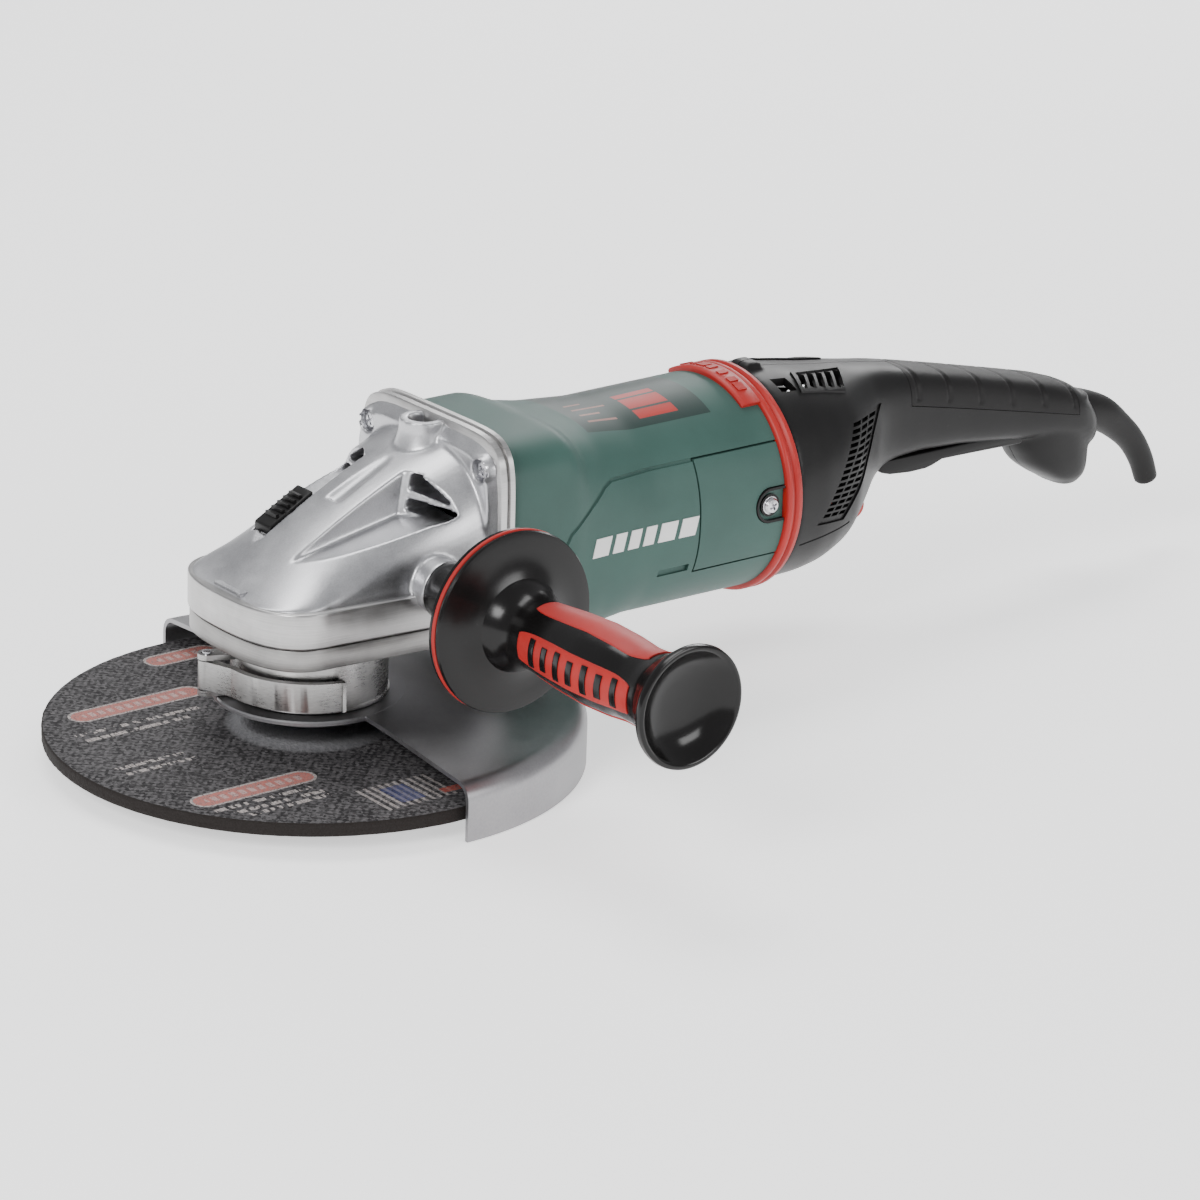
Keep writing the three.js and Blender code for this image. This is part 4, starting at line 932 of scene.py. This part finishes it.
# ---- rear handle ----
handle = {"start": 231.4, "end": 449.5, "wall": 3.6, "ease": 3.0, "voxel": 1.1, "smoothing": 6,
          "softX": (323, 430), "softBelow": 11, "softThick": 2.2, "ribPitch": 20, "ribDepth": 0.7,
          "sections": (    # x, half width, top, bottom and squareness
              (231.4, 50, 129, 29.5, 2.1), (250, 48.3, 127.3, 30.2, 2.2),
              (262, 45.8, 125.5, 32.5, 2.3), (275, 41.5, 123.5, 38, 2.4), (290, 30.5, 121.8, 49, 2.6),
              (300, 23.8, 120.3, 60.5, 2.8), (307, 21.2, 119.2, 67, 3.0), (314, 20, 118.2, 70.5, 3.1),
              (322, 19.3, 116.6, 72, 3.2), (336, 18.6, 113.6, 72.8, 3.3),
              (360, 18.2, 108.2, 71.6, 3.3), (394, 18.5, 100.2, 68, 3.2), (420, 19.5, 94, 65, 2.9),
              (434, 19.3, 89.5, 61, 2.6), (443, 17.5, 83, 56, 2.3), (449.5, 13, 76, 54, 2.1)),
          "stop": (    # z, front x, back x and half width
              (84, 405, 445, 17.5), (70, 401.5, 447, 17.5), (62, 403, 447.8, 17),
              (52, 409.5, 447.8, 16.5), (46, 418, 447, 15.5), (41.5, 426, 445, 13.5), (39, 432, 440, 9)),
          "screws": ((262, 50, 34, 20), (437, 50, 12.5, 10)), "paddleSlot": (309.5, 403, 13.2, 81.5),
          "post": 4.2, "screw": 1.7, "bore": 2.1, "sink": 4}    # the last four are radii
releaseWay = Vector((0.83, 0, -0.56)).normalized()
releasePoint = Vector((303, 0, 51))


def gripBody(wall, front=0.0):
    rings = []
    end = handle["end"] - wall
    for x in steps(handle["start"], end, 90):
        w, t, b, power = eased(handle["sections"], x, handle["ease"])
        rounding = max(3 - (end - x), 0) ** 2 * 0.35
        rings.append(section(x, w - wall - rounding, t - wall - rounding, b + wall + rounding, power, 96))
    if front:
        rings.insert(0, [point - Vector((front, 0, 0)) for point in rings[0]])
    return loft(rings)


def stopBody(wall):
    rings = []
    for z in steps(84, 39, 24):
        rows = [(-row[0], *row[1:]) for row in handle["stop"]]
        x0, x1, w = eased(rows, -z, 3.0)
        middle, half, wide = (x0 + x1) / 2, (x1 - x0) / 2 - wall, w - wall
        level = z + (wall if z < 43 else 0)
        rings.append([Vector((middle + half * signedPower(cos(a), 0.75),
                              wide * signedPower(sin(a), 0.75), level))
                      for a in steps(0.02, 2 * pi + 0.02, 64)[:-1]])
    return loft(rings)


def softLine(x):
    return between(x, 312, 437, 113.6, 87) - handle["softBelow"]


def softZone(margin):
    x0, x1 = handle["softX"]
    front, back = x0 - margin, x1 + margin
    return slabY([(front, softLine(x0) - margin), (back, softLine(x1) - margin), (back, 140), (front, 140)],
                 -40, 40)


# Three leaning columns of short slots inside a framed, sunken field.
def sideVents():
    front, back = ((272.5, 106.2), (246.5, 66.5)), ((298, 104.8), (262.5, 65.2))

    def spot(across, down):
        top = [a + (b - a) * across for a, b in zip(front[0], back[0])]
        low = [a + (b - a) * across for a, b in zip(front[1], back[1])]
        return [a + (b - a) * down for a, b in zip(top, low)]

    field = [spot(-0.08, -0.04), spot(1.08, -0.04), spot(1.1, 1.04), spot(-0.1, 1.04)]
    slots = []
    for column in range(3):
        a0, a1 = 0.03 + column * 0.33, 0.03 + column * 0.33 + 0.27
        for row in range(15):
            d0, d1 = 0.02 + row * 0.065, 0.02 + row * 0.065 + 0.04
            slots.append(slabY([spot(a0, d0), spot(a1, d0), spot(a1, d1), spot(a0, d1)], -70, -15))
    return field, slots


def topVents():
    slots = []
    for i in range(5):
        x = 256.5 + i * 5.4
        slot = block(-1.6, 1.6, -24.2, -12.6 + i * 0.9, 105, 140)
        bmesh.ops.rotate(slot, cent=(0, -18, 0), matrix=Matrix.Rotation(radians(-30), 3, "Z"),
                         verts=slot.verts)
        bmesh.ops.translate(slot, vec=(x, 0, 0), verts=slot.verts)
        slots.append(slot)
    return slots


# A low raised frame round the slots on top.
def grilleFrame(side):
    outer = [(249, -26.5), (254.5, -11.5), (288.5, -6.8), (275.5, -26.5)]
    inner = [(251.5, -25), (256, -13.2), (285, -9), (274, -25)]
    outer, inner = ([(x, -side * y) for x, y in outline] for outline in (outer, inner))
    ring = cut(slab(outer, 100, 140), slab(inner, 99, 141))
    return roundEdges(common(cut(gripBody(-0.8), gripBody(0.7)), ring), 0.3, 50, 1)


def releaseRod(radius, start, end):
    return rod(releasePoint + releaseWay * start, releasePoint + releaseWay * end, radius)


# The outer skin with its latch, as one even surface before the two shells are parted.
def handleSkin():
    whole = join(gripBody(0), stopBody(0))
    latch = block(233.5, 243, -6.5, 6.5, 120, 131.6)
    roundEdges(latch, 1.6, 40, 3)
    whole = join(whole, latch)
    return cast(whole, handle["voxel"], handle["smoothing"])


def sunkField(corners, depth):
    ring = cut(gripBody(-1.5), gripBody(depth))
    return common(ring, slabY(corners, -70, -1))


handleOuter = handleSkin()
bellCrease = [(236 + 3 * i, 56.5 + 0.35 * i) for i in range(12)]


def handleCutters():
    ventField, ventSlots = sideVents()
    crease = tube([(x, -halfWidthAt(x, z, handle["sections"], handle["ease"]), z) for x, z in bellCrease],
                  [0.6] * len(bellCrease), 10)
    pocket = block(239, 248, -24.5, -15.5, 113, 140)
    cutters = [sunkField(ventField, 0.9), together(*ventSlots), together(*topVents()), crease, pocket]
    return cutters + [mirrored(tool) for tool in cutters[:-1]]


# The bore that the cable sleeve sits in.
def sleeveHole():
    return rod((438, 0, 75.5), (453, 0, 71), 9.4)


def handleShell(side):
    outer = handleOuter.copy()
    hollow = join(gripBody(handle["wall"], 1), stopBody(handle["wall"]))
    half = block(200, 480, *((0.22, 80) if side > 0 else (-80, -0.22)), 0, 160)
    groove = common(softZone(0.3), cut(gripBody(-3), gripBody(handle["softThick"] + 0.3)))
    skin = common(cut(outer, hollow), half)
    posts, holes, sinks = [], [], []
    for x, z, reach, shank in handle["screws"]:
        posts.append(rod((x, side * 0.3, z), (x, side * (reach - 1), z), handle["post"]))
        holes.append(rod((x, -shank - 0.5, z), (x, 70, z), handle["bore"]))
        sinks.append(rod((x, reach - 3, z), (x, 70, z), handle["sink"]))
    lined = join(cut(skin, groove), grilleFrame(side), *posts)
    x0, x1, wide, top = handle["paddleSlot"]
    return cut(lined, sleeveHole(), *holes, *sinks, *handleCutters(),
               releaseRod(6.3, -14, 14), block(x0, x1, -wide, wide, 40, top))


for name, side in (("right", -1), ("left", 1)):
    make(f"handleShell_{name}", handleShell(side), "black", "rear_handle",
         (f"handle_shell_{name}",), 30)


# The soft cover has a shallow step across its top every ribPitch.
def softGrip():
    form = common(softZone(0), gripBody(0), handleOuter.copy())
    form = cut(form, gripBody(handle["softThick"]))
    bmesh.ops.subdivide_edges(form, edges=[e for e in form.edges if e.calc_length() > 4], cuts=1)
    for vert in form.verts:
        along = (vert.co.x - 326) % handle["ribPitch"]
        height = vert.co.z - softLine(vert.co.x)
        if along < 3.2 and height > 3:
            w, t, b, power = eased(handle["sections"], vert.co.x, handle["ease"])
            wide = halfWidthAt(vert.co.x, vert.co.z, handle["sections"], handle["ease"])
            if vert.co.z > t - 1.2 or abs(vert.co.y) > wide - 1.2:
                sink = handle["ribDepth"] * sin(pi * along / 3.2)
                vert.co -= Vector((0, vert.co.y, vert.co.z - (t + b) / 2)).normalized() * sink
    return form


ventFloor = roundEdges(block(236, 251, -27, -13, 108, 112), 0.5)
make("ventFloor", ventFloor, "black", "rear_handle")
make("softGrip", softGrip(), "softBlack", "rear_handle", ("handle_soft_grip",), 40)
handleOuter.free()
for i, (x, z, reach, shank) in enumerate(handle["screws"]):
    form = roundEdges(rod((x, -shank, z), (x, shank, z), handle["screw"]), 0.3)
    make(f"handleScrew{i + 1}", form, "steel", "rear_handle", (f"handle_screw_{i + 1}",))
make("releaseButton", roundEdges(releaseRod(6, -8, 6), 1.3, 40, 3), "red", "release",
     ("release_button",))
print("rear handle made")


# ---- paddle switch ----
def paddleSwitch():
    side = [(311, 73), (311, 69.4), (312.5, 67.4), (318, 65.8), (330, 64.7), (340, 64.8), (344, 65.6),
            (350, 67.6), (362, 67.4), (384, 66.9), (400, 66.4), (401.5, 69), (399.5, 72.2), (392, 73)]
    paddle = slabY(side, -12.6, 12.6)
    roundEdges(paddle, 1.0, 30, 3)
    grips = [rod((x, -10, 64.5), (x, 10, 64.5), 0.7, sides=12) for x in steps(327, 333, 2)]
    return cut(paddle, *grips, block(336, 352, -5.3, 5.3, 50, 90))


def paddleCatch():
    tongue = block(343.5, 351.5, -5, 5, 62.4, 73.6)
    roundEdges(tongue, 0.8, 40, 3)
    return join(tongue, block(343.5, 351.5, -8, 8, 73.3, 74.4))


make("paddleSwitch", paddleSwitch(), "black", "trigger", ("trigger_paddle",), 35)
make("paddleCatch", paddleCatch(), "black", "trigger_catch", ("trigger_lock",), 35)


# ---- cable sleeve ----
sleeve = {"points": ((440, 75), (452, 71.4), (463, 67), (474, 59.4), (484, 50.5), (491.6, 39.6), (496.6, 28)),
          "radii": (9.3, 9.2, 8.6, 7.4, 6.6, 6.1, 5.7), "bore": 4.2, "steps": 60}


def sleeveLine(place, values):
    low = min(max(int(place), 0), len(values) - 2)
    before, a, b, after = (values[min(max(low + i, 0), len(values) - 1)] for i in (-1, 0, 1, 2))
    t = place - low
    return 0.5 * (2 * a + (b - before) * t + (2 * before - 5 * a + 4 * b - after) * t * t
                  + (3 * a - before - 3 * b + after) * t ** 3)


def cableSleeve():
    places = steps(0, len(sleeve["points"]) - 1, sleeve["steps"])
    xs = [point[0] for point in sleeve["points"]]
    zs = [point[1] for point in sleeve["points"]]
    line = [(sleeveLine(t, xs), 0, sleeveLine(t, zs)) for t in places]
    radii = [sleeveLine(t, sleeve["radii"]) for t in places]
    radii[-1] -= 0.8
    radii[-2] -= 0.15
    first, last = Vector(line[0]), Vector(line[-1])
    bore = [first + (first - Vector(line[1])), *line, last + (last - Vector(line[-2]))]
    return cut(tube(line, radii, 48), tube(bore, [sleeve["bore"]] * len(bore), 32))


make("cableSleeve", cableSleeve(), "softBlack", "rear_handle", ("cable_sleeve",), 40)
print("switch and sleeve made")


# ---- side handle ----
sideGrip = {"x": 32.3, "z": 78.5, "panelAngles": (0, 90, 180, 270), "panelHalf": 8.9, "panelY": (-202, -120)}


def onSide(profile, sides=128):
    return turnedY(profile, sideGrip["x"], sideGrip["z"], sides)


gripCurve = ((-106, 20.6), (-108.5, 19.2), (-112, 16.9), (-116, 15.5), (-124, 15), (-142, 16.6), (-160, 17.6),
             (-176, 17.0), (-188, 15.8), (-196, 16.2), (-204, 18.2), (-210, 22), (-214, 25.2))


def gripRadius(y):
    rows = [(-a, r) for a, r in gripCurve]
    return eased(rows, -y, 1.5)[0]


def gripShape(extra, y0=-106.0, y1=-214.0):
    return [(gripRadius(y) + extra, y) for y in steps(y0, y1, 60)]


def sideHandleGrip():
    profile = [(6.9, -96.9), (21.7, -96.9), (21.7, -99.2), (38.6, -99.2), (39.4, -99.7), (39.7, -100.8),
               (39.2, -101.8), (36.5, -102.4), (32, -102.9), (27, -103.7), (23, -104.9)]
    profile += gripShape(0)
    profile += [(26.1, -215.6), (26.4, -217), (26.1, -218.4), (25.2, -219), (24.2, -218.9), (23.3, -218),
                (20.5, -214.5), (15, -211.5), (8, -210.2), (0, -210), (0, -106), (6.9, -106)]
    return onSide(profile, 160)


# An outline standing out from the grip's axis, turned round it.
def aroundGrip(outline, degrees):
    tool = slab(outline, 4, 40)
    bmesh.ops.rotate(tool, cent=(0, 0, 0), matrix=Matrix.Rotation(radians(90 - degrees), 3, "Y"),
                     verts=tool.verts)
    bmesh.ops.translate(tool, vec=(sideGrip["x"], 0, sideGrip["z"]), verts=tool.verts)
    return tool


def sidePanels():
    y0, y1 = sideGrip["panelY"]
    half, middle, reach = sideGrip["panelHalf"] * 0.9, (y0 + y1) / 2, (y1 - y0) / 2
    skin = onSide(gripShape(0.55, y1 - 4, y0 + 4) + gripShape(-0.6, y1 - 4, y0 + 4)[::-1], 160)
    panels = []
    for degrees in sideGrip["panelAngles"]:
        outline = [(half * signedPower(cos(a), 0.5), middle + reach * signedPower(sin(a), 0.62))
                   for a in steps(0.03, 2 * pi + 0.03, 48)[:-1]]
        panels.append(roundEdges(common(skin.copy(), aroundGrip(outline, degrees)), 0.3, 50))
    return panels


# Raised cross ribs on the panel that faces the nose and on the one opposite.
def panelRibs():
    ribs = []
    skin = onSide(gripShape(1.05, -122, -200) + gripShape(0.2, -122, -200)[::-1], 128)
    for degrees in (0, 180):
        for i, y in enumerate(steps(-188, -134, 6)):
            wide = 5.2 if i % 2 else 6.2
            rib = [(-wide, y - 1.7), (wide, y - 2.5), (wide, y + 0.9), (-wide, y + 1.7)]
            ribs.append(roundEdges(common(skin.copy(), aroundGrip(rib, degrees)), 0.25, 50))
    return together(*ribs)


make("sideGripBody", sideHandleGrip(), "glossBlack", "housing", ("side_handle_grip",), 40)
for i, panel in enumerate(sidePanels()):
    make(f"sideGripPanel{i + 1}", panel, "redRubber", "housing", sharp=50)
make("sideGripRibs", panelRibs(), "glossBlack", "housing", sharp=50)
base = onSide([(6.9, -54.4), (12.4, -54.4), (13, -55), (13.5, -60), (15, -70), (17, -78), (20, -85),
               (24, -90), (30, -93), (36.5, -94.2), (38.6, -94.5), (39.2, -95), (39.2, -96), (38.6, -96.6),
               (6.9, -96.6)])
make("sideHandleBase", base, "glossBlack", "housing", ("side_handle_base",), 40)
redRing = onSide([(22, -96.9), (39.2, -96.9), (39.7, -97.4), (39.7, -98.4), (39.2, -98.9), (22, -98.9)])
make("sideHandleRing", redRing, "redRubber", "housing", ("side_handle_ring",), 40)
thread = [(6.6 if i % 2 else 6.0, -44.2 - 0.9 * i) for i in range(12)]
stud = onSide([(0, -43.2), (5.8, -43.2)] + thread + [(6.6, -55), (6.6, -103.6), (0, -103.6)], 48)
make("sideHandleStud", stud, "steel", "housing", ("side_handle_stud",), 50)
print("side handle made")

# ---- inner pieces keep their own shapes ----
innerFinishes = {
    "steel": ("spindle_ball_bearing", "spindle_needle_bearing", "spindle", "lock_spring",
              "armature_front_bearing", "armature_rear_bearing", "armature_shaft"),
    "darkSteel": ("crown_gear", "pinion", "stator_core", "armature_core"),
    "copper": ("field_coil_left", "field_coil_right", "commutator"),
    "nylon": ("fan", "brush_holder_left", "brush_holder_right"),
    "carbon": ("carbon_brush_left", "carbon_brush_right"),
    "black": ("switch_module", "electronics_module", "cable_clamp"),
}
for finish, names in innerFinishes.items():
    for name in names:
        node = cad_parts[name]
        node.data.materials.clear()
        node.data.materials.append(finishes[finish])
print("inner pieces finished")


# ---- floor, light and air ----
def studio():
    look = {"size": 24, "z": -0.0062}
    form = bmesh.new()
    bmesh.ops.create_grid(form, x_segments=8, y_segments=8, size=look["size"] / 2)
    bmesh.ops.translate(form, vec=(0, 0, look["z"]), verts=form.verts)
    mesh = bpy.data.meshes.new("floor")
    form.to_mesh(mesh)
    form.free()
    p = Paint("pale floor", Roughness=0.9, Specular_IOR_Level=0.1, Emission_Color=(1.0, 1.0, 1.0),
              Emission_Strength=0.9)
    cloud = p.noise(0.004, 3)
    mesh.materials.append(p.finish(Base_Color=p.mix(cloud, (0.9, 0.9, 0.9), (0.93, 0.93, 0.93))))
    floor = bpy.data.objects.new("floor", mesh)
    bpy.context.collection.objects.link(floor)


def softbox(name, spot, aim, size, power):
    data = bpy.data.lights.new(name, "AREA")
    data.shape = "RECTANGLE"
    data.size, data.size_y = size
    data.energy = power
    lamp = bpy.data.objects.new(name, data)
    lamp.location = spot
    lamp.rotation_euler = (Vector(aim) - Vector(spot)).to_track_quat("-Z", "Y").to_euler()
    bpy.context.collection.objects.link(lamp)


lights = {"keyLight": ((-1.9, -0.9, 1.5), (0.1, 0, 0.06), (0.9, 0.9), 44),      # place, aim, size, watts
          "fillLight": ((0.9, -2.2, 0.9), (0.15, 0, 0.05), (1.2, 0.6), 20),
          "topLight": ((0.3, 0.9, 2.2), (0.15, 0, 0.05), (1.4, 0.9), 26),
          "rimLight": ((1.8, 1.3, 1.0), (0.2, 0, 0.08), (1.2, 0.6), 16)}
studio()
for name, settings in lights.items():
    softbox(name, *settings)
air = bpy.data.worlds.new("air")
air.use_nodes = True
sky = air.node_tree.nodes["Background"]
sky.inputs["Color"].default_value = (0.93, 0.94, 0.96, 1)
sky.inputs["Strength"].default_value = 0.6
bpy.context.scene.world = air
print("studio lit")
